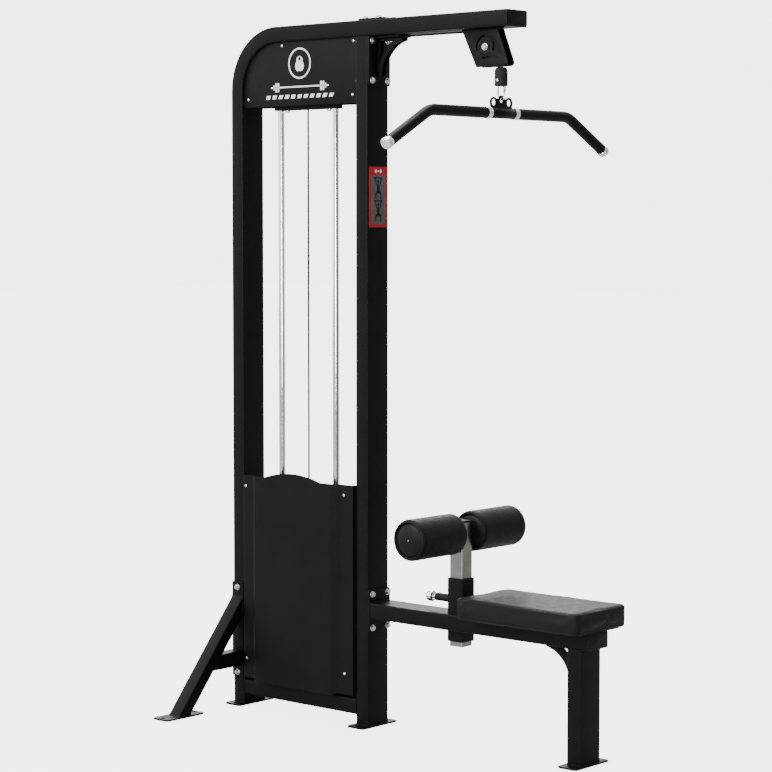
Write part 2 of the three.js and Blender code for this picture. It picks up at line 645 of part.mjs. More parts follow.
function makePulleyAxle(name, x) {
  const shank = CHEEK.inner + CHEEK.thick + GAP;
  const profile = [
    [0, -shank - 6], [9, -shank - 6], [11, -shank - 4], [11, -shank], [6, -shank],
    [6, shank], [11, shank], [11, shank + 6], [0, shank + 6],
  ];
  add(name, turned(profile, 12), zinc, [x, 0, PULLEY_Z]);
}

function arcSlot(cx, cz, radius, halfWidth, start, end) {
  const slot = new THREE.Path();
  slot.absarc(cx, cz, radius + halfWidth, start, end, false);
  slot.absarc(cx, cz, radius - halfWidth, end, start, true);
  return slot;
}

// the leaning pair of plates that holds the front pulley under the beam's end
function makeFrontCheeks() {
  const top = HEIGHT - TUBE.thick - GAP;
  const bottom = 2084;
  const shape = new THREE.Shape();
  shape.moveTo(962, top);
  shape.lineTo(1019, bottom);
  shape.lineTo(1134, bottom);
  shape.quadraticCurveTo(1148, bottom, 1144, bottom + 10);
  shape.lineTo(1099, top);
  shape.holes.push(roundHole(PULLEY.frontX, PULLEY_Z, 6.3));
  const slots = [[1.6, 3.4], [5.95, 6.65], [4.4, 5.1]];
  for (const [start, end] of slots) {
    shape.holes.push(arcSlot(PULLEY.frontX, PULLEY_Z, 33, 3, start, end));
  }
  const outer = CHEEK.inner + CHEEK.thick;
  add('front_cheek_near', slabXZ(shape, -outer, -CHEEK.inner, 6), paint);
  add('front_cheek_far', slabXZ(shape, CHEEK.inner, outer, 6), paint);
}

// the pair that holds the rear pulley and carries the guide rods' bracket
function makeRearCheeks(pulleyX) {
  const top = HEIGHT - TUBE.thick - GAP;
  const bottom = ROD_BRACKET.bottom + ROD_BRACKET.thick + GAP;
  const shape = polygon([
    [STACK_X - 110, bottom], [STACK_X + 110, bottom], [STACK_X + 110, top], [STACK_X - 60, top]]);
  shape.holes.push(roundHole(pulleyX, PULLEY_Z, 6.3));
  const outer = CHEEK.inner + CHEEK.thick;
  add('rear_cheek_near', slabXZ(shape, -outer, -CHEEK.inner, 6), paint);
  add('rear_cheek_far', slabXZ(shape, CHEEK.inner, outer, 6), paint);
}

// a quarter turn of cable round a pulley's axis, from angle `start` down to start - 90 degrees
function cableArc(centreX, start) {
  const section = new THREE.Shape();
  section.absarc(0, 0, CABLE_RADIUS, 0, Math.PI * 2, false);
  const steps = 6;
  const points = [];
  for (let i = 0; i <= steps; i += 1) {
    const a = start - (Math.PI / 2) * (i / steps);
    const x = centreX + PULLEY.cable * Math.cos(a);
    points.push(new THREE.Vector3(x, 0, PULLEY_Z + PULLEY.cable * Math.sin(a)));
  }
  const path = new THREE.CurvePath();
  for (let i = 1; i < points.length; i += 1) {
    path.add(new THREE.LineCurve3(points[i - 1], points[i]));
  }
  return toSolid(new THREE.ExtrudeGeometry(section, { steps, extrudePath: path, curveSegments: 4 }));
}

// the cable: over the rear pulley, level under the beam and over the front pulley
function makeCable(rearX, stackTop) {
  const level = rodSolid('x', CABLE_RADIUS, rearX - 0.5, PULLEY.frontX + 0.5, 0, CABLE_Z, 8);
  const run = join(level, cableArc(rearX, Math.PI), cableArc(PULLEY.frontX, Math.PI / 2));
  add('cable_top_run', toGeometry(run), cableCoat);
  const ferruleTop = STOP.top + GAP + FERRULE.height;
  add('cable_ferrule', rod('z', FERRULE.radius, STOP.top + GAP, ferruleTop, DROP_X, 0, 12), zinc);
  add('cable_bar_drop', rod('z', CABLE_RADIUS, ferruleTop + GAP, PULLEY_Z - 1, DROP_X, 0, 8), cableCoat);
  add('cable_stack_drop', rod('z', CABLE_RADIUS, stackTop + GAP, PULLEY_Z - 1, STACK_X, 0, 8), cableCoat);
}

// ---------------------------------------------------------------- bar and its hanger
// the stop on the cable's end: a rubber cup with a cross pin from which the link hangs
function makeCableStop() {
  const low = STOP.bottom;
  const shoulder = STOP.top - STOP.corner;
  const profile = [
    [STOP.cavity, low], [STOP.radius, low], [STOP.radius, shoulder], [STOP.radius - 2.5, STOP.top - 3],
    [STOP.radius - STOP.corner, STOP.top], [0, STOP.top], [0, STOP.cavityTop], [STOP.cavity, STOP.cavityTop],
    [STOP.cavity, low],
  ];
  const cup = turned(profile, 24).rotateX(Math.PI / 2);
  const pin = rodSolid('y', STOP.pin, -STOP.radius + 1, STOP.radius - 1, 0, STOP.pinZ, 10);
  add('cable_stop', toGeometry(join(toSolid(cup), pin)), plastic, [DROP_X, 0, 0]);
}

// an oval link in the xz plane: a ring whose upper and lower halves are drawn apart
function makeLink() {
  const ring = new THREE.TorusGeometry(LINK.radius, LINK.wire, 8, 18);
  ring.rotateX(Math.PI / 2);
  ring.rotateY(Math.PI / 18);
  const spread = (LINK.top - LINK.bottom) / 2 - LINK.radius;
  const position = ring.attributes.position;
  for (let i = 0; i < position.count; i += 1) {
    position.setZ(i, position.getZ(i) + Math.sign(position.getZ(i)) * spread);
  }
  add('link', ring, chrome, [DROP_X, 0, (LINK.top + LINK.bottom) / 2]);
}

// the plate that carries the bar: an eye for the link between two ears, on a sleeve round the bar's core
function makeHanger() {
  const h = HANGER;
  const disc = (y, z, radius) => rodSolid('x', radius, -h.thick / 2, h.thick / 2, y, z, 24);
  const web = polygon([
    [-48, BAR.z], [48, BAR.z], [52, h.earZ - 5], [28, h.earZ + 11.5], [-28, h.earZ + 11.5], [-52, h.earZ - 5],
  ]);
  const body = toSolid(slabYZ(web, -h.thick / 2, h.thick / 2));
  const ears = [-h.earY, h.earY].map((y) => disc(y, h.earZ, h.ear));
  const hub = rodSolid('y', HUB.radius, -HUB.halfLength, HUB.halfLength, 0, BAR.z, 20);
  const solid = join(body, ...ears, disc(0, h.eyeZ, h.eye), hub);
  const through = (y, z, radius) => rodSolid('x', radius, -h.thick, h.thick, y, z, 16);
  const eyeHoleZ = LINK.bottom + LINK.wire + 1 - h.eyeHole;
  const bore = rodSolid('y', HUB.bore, -70, 70, 0, BAR.z, 20);
  const earHoles = [-h.earY, h.earY].map((y) => through(y, h.earZ, h.earHole));
  const holed = cut(solid, bore, through(0, eyeHoleZ, h.eyeHole), ...earHoles);
  add('hanger', toGeometry(holed), paint, [DROP_X, 0, 0]);
}

// one arm of the bar, from beside the collar through the bend to the tip, on the side of +y
function barArm() {
  const rise = BAR.z - BAR_TIP.z;
  const run = BAR_TIP.y - BAR.bendY;
  const angle = Math.atan2(rise, run);
  const back = BAR.bendRadius * Math.tan(angle / 2);
  const path = new THREE.CurvePath();
  const start = new THREE.Vector3(0, COLLAR.outer - 1, BAR.z);
  const bendStart = new THREE.Vector3(0, BAR.bendY - back, BAR.z);
  path.add(new THREE.LineCurve3(start, bendStart));
  const steps = 5;
  let last = bendStart;
  for (let i = 1; i <= steps; i += 1) {
    const a = angle * (i / steps);
    const next = new THREE.Vector3(
      0, bendStart.y + BAR.bendRadius * Math.sin(a), BAR.z - BAR.bendRadius * (1 - Math.cos(a)));
    path.add(new THREE.LineCurve3(last, next));
    last = next;
  }
  path.add(new THREE.LineCurve3(last, new THREE.Vector3(0, BAR_TIP.y, BAR_TIP.z)));
  const section = new THREE.Shape();
  section.absarc(0, 0, BAR.radius, 0, Math.PI * 2, false);
  const arm = new THREE.ExtrudeGeometry(section, { steps: 15, extrudePath: path, curveSegments: 6 });
  return { arm, angle };
}

function makeBar() {
  const { arm, angle } = barArm();
  const mirrored = arm.clone().rotateZ(Math.PI);
  const core = rod('y', BAR.core, -BAR.coreEnd, BAR.coreEnd, 0, BAR.z, 16);
  const collars = [[COLLAR.inner, COLLAR.outer], [-COLLAR.outer, -COLLAR.inner]].map(
    ([low, high]) => rodSolid('y', COLLAR.radius, low, high, 0, BAR.z, 20));
  const bar = join(toSolid(arm), toSolid(mirrored), toSolid(core), ...collars);
  add('lat_bar', toGeometry(bar), paint, [DROP_X, 0, 0]);

  const { cap: length, capRadius: r } = BAR_TIP;
  for (const side of [-1, 1]) {
    const cap = turned([[0, GAP], [r, GAP], [r, length - 5], [r - 5, length], [0, length]], 20);
    cap.rotateX(-angle);
    if (side < 0) cap.rotateZ(Math.PI);
    add(side < 0 ? 'bar_cap_near' : 'bar_cap_far', cap, chrome, [DROP_X, side * BAR_TIP.y, BAR_TIP.z]);
  }
}

function makePlacard() {
  const shape = roundedRect(-PLACARD.width / 2, PLACARD.bottom, PLACARD.width / 2, PLACARD.top, 5);
  const x = FRONT_X + TUBE.thick + GAP;
  add('placard', slabYZ(shape, x, x + PLACARD.thick, 4), red);
}

// ---------------------------------------------------------------- assembly
makeMainTube();
makeEndCap('beam_end_cap', BEAM_END, HEIGHT - TUBE.thick);
makeFrontUpright();
makeBottomBeam();
const half = TUBE.thick / 2;
add('foot_rear', footPlate(half, 0), paint);
add('foot_front', footPlate(FRONT_X + half, 0), paint);
add('foot_seat', footPlate(SEAT_POST_X + half, 0), paint);
makeStabiliser('stabiliser_near', -1);
makeStabiliser('stabiliser_far', 1);
makeTopGusset();
makeBeamClampPlate();
makeSeatBeam();
makeEndCap('seat_beam_cap', SEAT_BEAM.end, SEAT_BEAM.bottom);
makeSeatPost();
makeSeatGusset();
makeSeat();
makeThighHold();
makePopPin();
makeGuards();
makeHeadPanels();
makeRods();
const stackTop = makeStack();
const rearPulleyX = STACK_X + PULLEY.cable;
makePulley('front_pulley', PULLEY.frontX);
makePulley('rear_pulley', rearPulleyX);
makePulleyAxle('front_pulley_axle', PULLEY.frontX);
makePulleyAxle('rear_pulley_axle', rearPulleyX);
makeFrontCheeks();
makeRearCheeks(rearPulleyX);
makeCable(rearPulleyX, stackTop);
makeCableStop();
makeLink();
makeHanger();
makeBar();
makePlacard();

// the origin is midway between the rear edge of the rear foot and the front edge of the seat pad
const rearEdge = half - FOOT.x / 2;
machine.position.x = -(rearEdge + SEAT.front) / 2;

export default machine;
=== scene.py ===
"""A lat pulldown machine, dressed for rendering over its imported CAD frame. All lengths are in metres."""
import json
import math
from collections import namedtuple

import bmesh
import bpy
from mathutils import Matrix, Vector, noise
from mathutils.bvhtree import BVHTree


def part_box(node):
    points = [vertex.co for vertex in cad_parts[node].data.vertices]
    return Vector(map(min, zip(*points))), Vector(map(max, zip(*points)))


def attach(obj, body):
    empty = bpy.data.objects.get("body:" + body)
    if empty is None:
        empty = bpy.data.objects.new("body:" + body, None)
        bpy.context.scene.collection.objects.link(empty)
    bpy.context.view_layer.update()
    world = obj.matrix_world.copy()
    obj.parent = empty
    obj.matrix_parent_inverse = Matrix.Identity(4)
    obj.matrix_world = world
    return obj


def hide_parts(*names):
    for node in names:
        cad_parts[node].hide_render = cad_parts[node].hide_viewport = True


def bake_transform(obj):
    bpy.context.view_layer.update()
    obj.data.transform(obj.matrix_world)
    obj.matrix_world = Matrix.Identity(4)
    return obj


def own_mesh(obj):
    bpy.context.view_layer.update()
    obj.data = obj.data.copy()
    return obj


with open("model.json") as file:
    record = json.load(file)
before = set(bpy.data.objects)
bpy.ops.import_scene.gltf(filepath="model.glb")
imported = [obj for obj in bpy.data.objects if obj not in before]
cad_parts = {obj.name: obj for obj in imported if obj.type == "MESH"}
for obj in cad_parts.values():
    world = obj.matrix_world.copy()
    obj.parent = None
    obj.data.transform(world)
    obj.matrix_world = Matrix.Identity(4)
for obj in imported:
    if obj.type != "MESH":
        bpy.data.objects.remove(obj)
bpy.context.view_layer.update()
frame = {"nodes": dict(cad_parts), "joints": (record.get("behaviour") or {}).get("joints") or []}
MM = 0.001
X, Y, Z = (1, 0, 0), (0, 1, 0), (0, 0, 1)
LEFT, NEAR, DOWN = (-1, 0, 0), (0, -1, 0), (0, 0, -1)


def add_object(name, data):
    obj = bpy.data.objects.new(name, data)
    bpy.context.collection.objects.link(obj)
    return obj


def aimed(at, aim):
    return (Vector(aim) - Vector(at)).to_track_quat("-Z", "Y").to_euler()


# ------------------------------------------------------------------ camera
CAMERA_AT = Vector((4.766, -5.515, 1.6085))
CAMERA_AIM = Vector((-0.1035, 0.0, 1.097))
camera_data = bpy.data.cameras.new("camera")
camera_data.lens = 108.3
camera_data.sensor_width = 36
camera = add_object("camera", camera_data)
camera.location = CAMERA_AT
camera.rotation_euler = aimed(CAMERA_AT, CAMERA_AIM)
bpy.context.scene.camera = camera


# ------------------------------------------------------------------ materials
def shader(name, color, roughness, metallic=0.0, specular=0.5):
    mat = bpy.data.materials.new(name)
    mat.use_nodes = True
    node = mat.node_tree.nodes["Principled BSDF"]
    node.inputs["Base Color"].default_value = (*color, 1)
    node.inputs["Roughness"].default_value = roughness
    node.inputs["Metallic"].default_value = metallic
    node.inputs["Specular IOR Level"].default_value = specular
    return mat, mat.node_tree, node


def add_node(tree, kind, inputs=(), output=0, **settings):
    """adds a shader node, sets or links its inputs, and returns one of its outputs"""
    node = tree.nodes.new("ShaderNode" + kind)
    for key, value in settings.items():
        setattr(node, key, value)
    for key, value in dict(inputs).items():
        if isinstance(value, bpy.types.NodeSocket):
            tree.links.new(value, node.inputs[key])
        else:
            node.inputs[key].default_value = value
    return node.outputs[output]


def noise_node(tree, scale, detail=3.0, stretch=(1, 1, 1)):
    place = {"Vector": add_node(tree, "TexCoord", output="Object"), "Scale": stretch}
    place = add_node(tree, "Mapping", place, "Vector")
    return add_node(tree, "TexNoise", {"Vector": place, "Scale": scale, "Detail": detail}, "Fac")


def spread(tree, value, low, high, from_low=0.3, from_high=0.7):
    limits = {"From Min": from_low, "From Max": from_high, "To Min": low, "To Max": high}
    return add_node(tree, "MapRange", {"Value": value, **limits}, "Result")


def calculate(tree, operation, a, b):
    return add_node(tree, "Math", {0: a, 1: b}, "Value", operation=operation)


def mix(tree, a, b, factor):
    """blends two colours, each a triple or the output of another node"""
    a, b = [(*color, 1) if isinstance(color, tuple) else color for color in (a, b)]
    return add_node(tree, "Mix", {"A": a, "B": b, "Factor": factor}, "Result", data_type="RGBA")


def add_bump(tree, principled, heights):
    """heights is a list of (value, strength, distance in metres)"""
    below = {}
    for value, strength, distance in heights:
        bump = {"Strength": strength, "Distance": distance, "Height": value}
        below = {"Normal": add_node(tree, "Bump", {**bump, **below}, "Normal")}
    tree.links.new(below["Normal"], principled.inputs["Normal"])


def edge_mask(tree):
    """grows on the rounded corners of square tube, where the surface faces between the axes; the colour it lays there
    is a painted highlight, and on the frame paint also wear
    """
    normal = add_node(tree, "TexCoord", output="Normal")
    size = add_node(tree, "VectorMath", {0: normal}, "Vector", operation="ABSOLUTE")
    largest, *others = [add_node(tree, "SeparateXYZ", {"Vector": size}, axis) for axis in "XYZ"]
    for other in others:
        largest = calculate(tree, "MAXIMUM", largest, other)
    edge = spread(tree, largest, 1, 0, 0.71, 0.93)
    patches = spread(tree, noise_node(tree, 40), 0.55, 1, 0.42, 0.62)
    return calculate(tree, "MULTIPLY", edge, patches)


def surface(name, dark, light, rough, scales, metallic=0.0, specular=0.5, edge=None):
    """a mottled colour and an uneven roughness, at two noise scales, with an edge colour on rounded corners, painted
    there as a highlight and, on the frame paint, also as wear
    """
    mat, tree, node = shader(name, light if metallic else dark, rough[0], metallic, specular)
    base = mix(tree, dark, light, spread(tree, noise_node(tree, scales[0]), 0, 1))
    if edge:
        base = mix(tree, base, edge, edge_mask(tree))
    tree.links.new(base, node.inputs["Base Color"])
    tree.links.new(spread(tree, noise_node(tree, scales[1]), *rough), node.inputs["Roughness"])
    return mat, tree, node


def powder_coat(name, dark, light, rough=(0.34, 0.44), grain=0.12, edge=None):
    mat, tree, node = surface(name, dark, light, rough, (9, 35), specular=0.08, edge=edge)
    add_bump(tree, node, [(noise_node(tree, 750, 2), grain, 0.0004), (noise_node(tree, 12, 1), 0.05, 0.002)])
    return mat


def moulded(name, dark, light, rough=(0.4, 0.55), grain_scale=1400, grain=0.2):
    mat, tree, node = surface(name, dark, light, rough, (25, 70), specular=0.12)
    add_bump(tree, node, [(noise_node(tree, grain_scale, 2), grain, 0.0003)])
    return mat


def metal(name, dark, light, rough=(0.08, 0.16), stretch=(1, 1, 1), grain=0.03, edge=None):
    mat, tree, node = surface(name, dark, light, rough, (20, 45), metallic=1.0, edge=edge)
    add_bump(tree, node, [(noise_node(tree, 500, 3, stretch), grain, 0.0002)])
    return mat


def leather(name, dark, light, rough=(0.36, 0.48), cell=480):
    mat, tree, node = surface(name, dark, light, rough, (14, 50), specular=0.1)
    place = add_node(tree, "TexCoord", output="Object")
    wobble = add_node(tree, "TexNoise", {"Vector": place, "Scale": 260}, "Color")
    place = add_node(tree, "Mix", {"A": place, "B": wobble, "Factor": 0.004}, "Result", data_type="VECTOR")
    cells = add_node(tree, "TexVoronoi", {"Vector": place, "Scale": cell}, "Distance", feature="DISTANCE_TO_EDGE")
    creases = spread(tree, cells, 0, 1, 0.0, 0.12)
    add_bump(tree, node, [(creases, 0.35, 0.0003), (noise_node(tree, 1500, 2), 0.15, 0.0002)])
    return mat


# lighter corners of the frame paint: partly rubbed wear, partly a painted highlight where the rounded corners catch the
# light
EDGE_WEAR_AND_HIGHLIGHT = (0.011, 0.011, 0.0115)
# near-white corners of the brushed post: a painted highlight along its rounded corners
PAINTED_EDGE_HIGHLIGHT = (0.95, 0.95, 0.95)
PAINT = powder_coat("frame_paint", (0.0026, 0.0026, 0.0028), (0.0036, 0.0036, 0.0038), edge=EDGE_WEAR_AND_HIGHLIGHT)
COAT = powder_coat("plain_paint", (0.0026, 0.0026, 0.0028), (0.0036, 0.0036, 0.0038))
SHEET = powder_coat("sheet_paint", (0.0030, 0.0030, 0.0032), (0.0042, 0.0042, 0.0044), (0.40, 0.50), 0.16)
PLASTIC = moulded("black_plastic", (0.0030, 0.0030, 0.0030), (0.0045, 0.0045, 0.0045))
RUBBER = moulded("black_rubber", (0.009, 0.009, 0.009), (0.013, 0.013, 0.013), (0.55, 0.7), 900, 0.3)
FOAM = leather("roller_vinyl", (0.0030, 0.0030, 0.0030), (0.0045, 0.0045, 0.0045), (0.42, 0.55), 900)
LEATHER = leather("seat_vinyl", (0.0052, 0.0052, 0.0054), (0.0060, 0.0060, 0.0062))
CHROME = metal("chrome", (0.86, 0.86, 0.87), (0.93, 0.93, 0.94))
ZINC = metal("zinc", (0.42, 0.42, 0.42), (0.60, 0.60, 0.61), (0.22, 0.36), grain=0.1)
STEEL = metal("brushed_post", (0.19, 0.19, 0.185), (0.25, 0.25, 0.245), (0.2, 0.28), (1, 1, 0.02), 0.08, PAINTED_EDGE_HIGHLIGHT)
IRON = moulded("stack_iron", (0.014, 0.014, 0.015), (0.022, 0.022, 0.023), (0.5, 0.65), 400, 0.6)
CABLE = moulded("cable_coat", (0.008, 0.008, 0.008), (0.012, 0.012, 0.012), (0.28, 0.38), 300, 0.1)
RED = moulded("red_print", (0.24, 0.009, 0.016), (0.29, 0.013, 0.020), (0.3, 0.4), 900, 0.05)
RED_KNOB = moulded("red_knob", (0.36, 0.010, 0.012), (0.45, 0.015, 0.018), (0.35, 0.45), 900, 0.1)
WHITE = moulded("white_print", (0.62, 0.62, 0.62), (0.72, 0.72, 0.72), (0.4, 0.5), 900, 0.05)
GREY = moulded("grey_print", (0.055, 0.055, 0.057), (0.075, 0.075, 0.078), (0.35, 0.45), 900, 0.05)
INK = moulded("ink_print", (0.008, 0.008, 0.008), (0.012, 0.012, 0.012), (0.35, 0.45), 900, 0.05)


# ------------------------------------------------------------------ mesh makers
# each returns (vertices, faces) in the row frame
def merged(*parts):
    verts, faces = [], []
    for part_verts, part_faces in parts:
        start = len(verts)
        verts += [tuple(v) for v in part_verts]
        faces += [[i + start for i in f] for f in part_faces]
    return verts, faces


def loft(rings, caps=(True, True)):
    """skins closed rings of equal length, in order"""
    n = len(rings[0])
    verts = [v for ring in rings for v in ring]
    faces = []
    for k in range(len(rings) - 1):
        a, b = k * n, (k + 1) * n
        faces += [[a + i, a + (i + 1) % n, b + (i + 1) % n, b + i] for i in range(n)]
    if caps[0]:
        faces.append(list(range(n))[::-1])
    if caps[1]:
        faces.append([len(verts) - n + i for i in range(n)])
    return verts, faces


def eased(a, corner, b, steps):
    """a curve from a to b that bends at the corner"""
    return [a * (1 - t) ** 2 + corner * 2 * t * (1 - t) + b * t ** 2 for t in (k / steps for k in range(steps + 1))]


def rounded(points, radius, steps=4):
    """a closed outline with its corners rounded; radius is one number or one per corner"""
    out = []
    n = len(points)
    for i, p in enumerate(points):
        r = radius[i] if isinstance(radius, (list, tuple)) else radius
        p = Vector(p)
        if r <= 0:
            out.append(tuple(p))
            continue
        to_before, to_after = Vector(points[i - 1]) - p, Vector(points[(i + 1) % n]) - p
        bend = math.pi - to_before.angle(to_after)
        reach = min(r * math.tan(bend / 2), 0.49 * to_before.length, 0.49 * to_after.length)
        ends = [p + side.normalized() * reach for side in (to_before, to_after)]
        out += [tuple(v) for v in eased(ends[0], p, ends[1], steps)]
    return out


def rect(x0, y0, x1, y1):
    return [(x0, y0), (x1, y0), (x1, y1), (x0, y1)]


def arc(cx, cz, radius, start, end, steps=20):
    return [(cx + radius * math.cos(a), cz + radius * math.sin(a))
            for a in (start + (end - start) * k / steps for k in range(steps + 1))]


def circle(radius, n):
    return [(radius * math.cos(2 * math.pi * i / n), radius * math.sin(2 * math.pi * i / n)) for i in range(n)]


def hole(x, y, radius, n=32):
    return [(x + a, y + b) for a, b in circle(radius, n)][::-1]


def swept(section, frames, caps=(True, True)):
    """section points (a, b) carried along frames of (origin, a axis, b axis)"""
    rings = [[Vector(o) + Vector(u) * a + Vector(v) * b for a, b in section] for o, u, v in frames]
    return loft(rings, caps)


def round_frames(points):
    """frames along a path in space, without twist"""
    pts = [Vector(p) for p in points]
    frames = []
    side = None
    for i, p in enumerate(pts):
        a, b = pts[max(i - 1, 0)], pts[min(i + 1, len(pts) - 1)]
        along = (b - a).normalized()
        if side is None:
            side = along.orthogonal().normalized()
        side = (side - along * side.dot(along)).normalized()
        frames.append((p, side, along.cross(side)))
    return frames


def pipe(points, radius, n=16):
    return swept(circle(radius, n), round_frames(points))


def closed_pipe(points, radius, n, normal):
    pts = [Vector(p) for p in points]
    rings = []
    for i, p in enumerate(pts):
        along = (pts[(i + 1) % len(pts)] - pts[i - 1]).normalized()
        side = along.cross(Vector(normal)).normalized()
        rings.append([p + side * a + Vector(normal) * b for a, b in circle(radius, n)])
    rings.append(rings[0])
    return loft(rings, (False, False))


def turned(profile, origin, axis, n=40):
    """a profile in millimetres of (radius, distance along the axis), turned about the axis through origin"""
    axis = Vector(axis).normalized()
    u = axis.orthogonal().normalized()
    v = axis.cross(u)
    rings = []
    for r, t in profile:
        centre = Vector(origin) + axis * (t * MM)
        rings.append([centre + (u * math.cos(a) + v * math.sin(a)) * max(r * MM, 1e-5)
                      for a in (2 * math.pi * i / n for i in range(n))])
    return loft(rings, (profile[0][0] < 0.1, profile[-1][0] < 0.1))


PLANES = {
    "xy": Matrix(((1, 0, 0), (0, 1, 0), (0, 0, 1))),
    "xz": Matrix(((1, 0, 0), (0, 0, -1), (0, 1, 0))),
    "yz": Matrix(((0, 0, 1), (1, 0, 0), (0, 1, 0))),
}
ACROSS = {"xy": Z, "xz": Y, "yz": X}


def plate(outline, low, high, plane, bevel=0.0008, holes=()):
    """a flat plate between low and high across its plane, with eased edges and holes"""
    curve = bpy.data.curves.new("outline", "CURVE")
    curve.dimensions = "2D"
    curve.fill_mode = "BOTH"
    for loop in (outline, *holes):
        spline = curve.splines.new("POLY")
        spline.points.add(len(loop) - 1)
        for point, (a, b) in zip(spline.points, loop):
            point.co = (a, b, 0, 1)
        spline.use_cyclic_u = True
    curve.extrude = (high - low) / 2 - bevel
    curve.bevel_depth = bevel
    curve.bevel_resolution = 2
    curve.offset = -bevel
    obj = add_object("outline", curve)
    mesh = bpy.data.meshes.new_from_object(obj)
    offset = Vector(ACROSS[plane]) * (low + high) / 2
    verts = [tuple(PLANES[plane] @ v.co + offset) for v in mesh.vertices]
    faces = [list(p.vertices) for p in mesh.polygons]
    bpy.data.objects.remove(obj)
    bpy.data.curves.remove(curve)
    bpy.data.meshes.remove(mesh)
    return verts, faces


def mirrored(part):
    return [(x, -y, z) for x, y, z in part[0]], [f[::-1] for f in part[1]]


def bolt(at, axis, radius=8, height=7, washer=True):
    """a hex head, in millimetres, on a washer or bare"""
    parts = []
    base = 0.0
    if washer:
        w = radius * 1.3
        base = 2
        parts.append(turned([(0, -0.2), (w, -0.2), (w, base * 0.8), (w - 0.4, base), (0, base)], at, axis, 28))
    top = base + height
    head = [(0, base - 0.1), (radius, base - 0.1), (radius, base + height * 0.78), (radius * 0.86, top), (0, top)]
    parts.append(turned(head, at, axis, 6))
    return merged(*parts)


def dome_screw(at, axis, radius=5, height=2.6):
    """a domed head, in millimetres, with a socket"""
    profile = [(0, -0.3), (radius, -0.3), (radius, 0.4)]
    for k in range(1, 6):
        a = math.pi / 2 * k / 5
        profile.append((radius * math.cos(a) if k < 5 else radius * 0.28, 0.4 + (height - 0.4) * math.sin(a)))
    return turned(profile + [(radius * 0.26, height - 0.9), (0, height - 0.9)], at, axis, 24)


def bead(points, radius=1.8 * MM):
    """a weld bead with its ripples"""
    pts = [Vector(p) for p in points]
    dense = []
    for a, b in zip(pts, pts[1:]):
        steps = max(2, int((b - a).length / (2.4 * MM)))
        dense += [a.lerp(b, k / steps) for k in range(steps)]
    dense.append(pts[-1])
    rings = []
    for i, (o, u, v) in enumerate(round_frames(dense)):
        r = radius * (1 + 0.13 * math.sin(i * 2.1) + 0.12 * noise.noise(o * 300))
        rings.append([o + u * a + v * b for a, b in circle(r, 8)])
    return loft(rings)


def bead_round(points):
    return bead(list(points) + list(points[:1]))


# ------------------------------------------------------------------ pieces
def new_mesh(name, part):
    mesh = bpy.data.meshes.new(name)
    mesh.from_pydata([tuple(v) for v in part[0]], [], part[1])
    return mesh


def piece(name, part, replaces="", material=PAINT, body="frame", sharp=38):
    mesh = new_mesh(name, part)
    bm = bmesh.new()
    bm.from_mesh(mesh)
    bmesh.ops.remove_doubles(bm, verts=bm.verts, dist=0.5e-5)
    bmesh.ops.recalc_face_normals(bm, faces=bm.faces)
    bm.to_mesh(mesh)
    bm.free()
    for polygon in mesh.polygons:
        polygon.use_smooth = True
    mesh.set_sharp_from_angle(angle=math.radians(sharp))
    mesh.materials.append(material)
    obj = add_object(name, mesh)
    if replaces:
        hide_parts(replaces)
    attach(obj, body)
    return obj


class Box(namedtuple("Box", "x0 y0 z0 x1 y1 z1")):
    """the two corners of a node, with x and z in its middle"""
    x = property(lambda b: (b.x0 + b.x1) / 2)
    z = property(lambda b: (b.z0 + b.z1) / 2)


def box(node):
    low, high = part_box(node)
    return Box(*low, *high)


def slab(name, node, plane, corner, bevel, material=PAINT, body="frame", holes=(), steps=4):
    """a plate with rounded corners that fills the box of a node"""
    low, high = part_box(node)
    a, b, c = {"xy": (0, 1, 2), "xz": (0, 2, 1), "yz": (1, 2, 0)}[plane]
    outline = rounded(rect(low[a], low[b], high[a], high[b]), corner * MM, steps)
    return piece(name, plate(outline, low[c], high[c], plane, bevel * MM, holes), node, material, body)


# ---- welded frame
CORNER = 5 * MM
WALL = 3 * MM
BEND = 200 * MM
TUBE_T = 50 * MM
MOUNT_T = 7.7 * MM
POST_GAP = 0.5 * MM
main = box("main_tube")
fore = box("front_upright")
floor_beam = box("bottom_beam")
seat_beam = box("seat_beam")
seat_post = box("seat_post")
post = box("thigh_post")
HALF_W = main.y1
seat_top = seat_beam.z + TUBE_T / 2
seat_under = seat_top - TUBE_T


def tube_section(half_a, half_b, corner=CORNER):
    return rounded(rect(-half_a, -half_b, half_a, half_b), corner)


def hollow(half, frames):
    """an open-ended tube as wide as the frame: outer and inner skins joined by rims"""
    section = tube_section(half, HALF_W)
    outer = swept(section, frames, (False, False))
    inner = swept(tube_section(half - WALL, HALF_W - WALL, CORNER - WALL), frames[::-1], (False, False))
    n = len(section)
    verts, faces = merged(outer, inner)
    last = (len(frames) - 1) * n
    inside = len(outer[0])
    for i in range(n):
        j = (i + 1) % n
        faces.append([i, inside + last + i, inside + last + j, j][::-1])
        faces.append([last + i, inside + i, inside + j, last + j])
    return verts, faces


def upright(x0, x1, z0, z1):
    return hollow((x1 - x0) / 2, [(((x0 + x1) / 2, 0, z), X, Y) for z in (z0, z1)])


def level(x0, x1, z0, z1):
    return hollow((z1 - z0) / 2, [((x, 0, (z0 + z1) / 2), DOWN, Y) for x in (x0, x1)])


def mount_plate(b):
    """the bolted plate of a bracket, where it meets the front upright"""
    return plate(rounded(rect(b.y0, b.z0, b.y1, b.z1), 6 * MM), b.x0, b.x0 + MOUNT_T, "yz", 1 * MM)


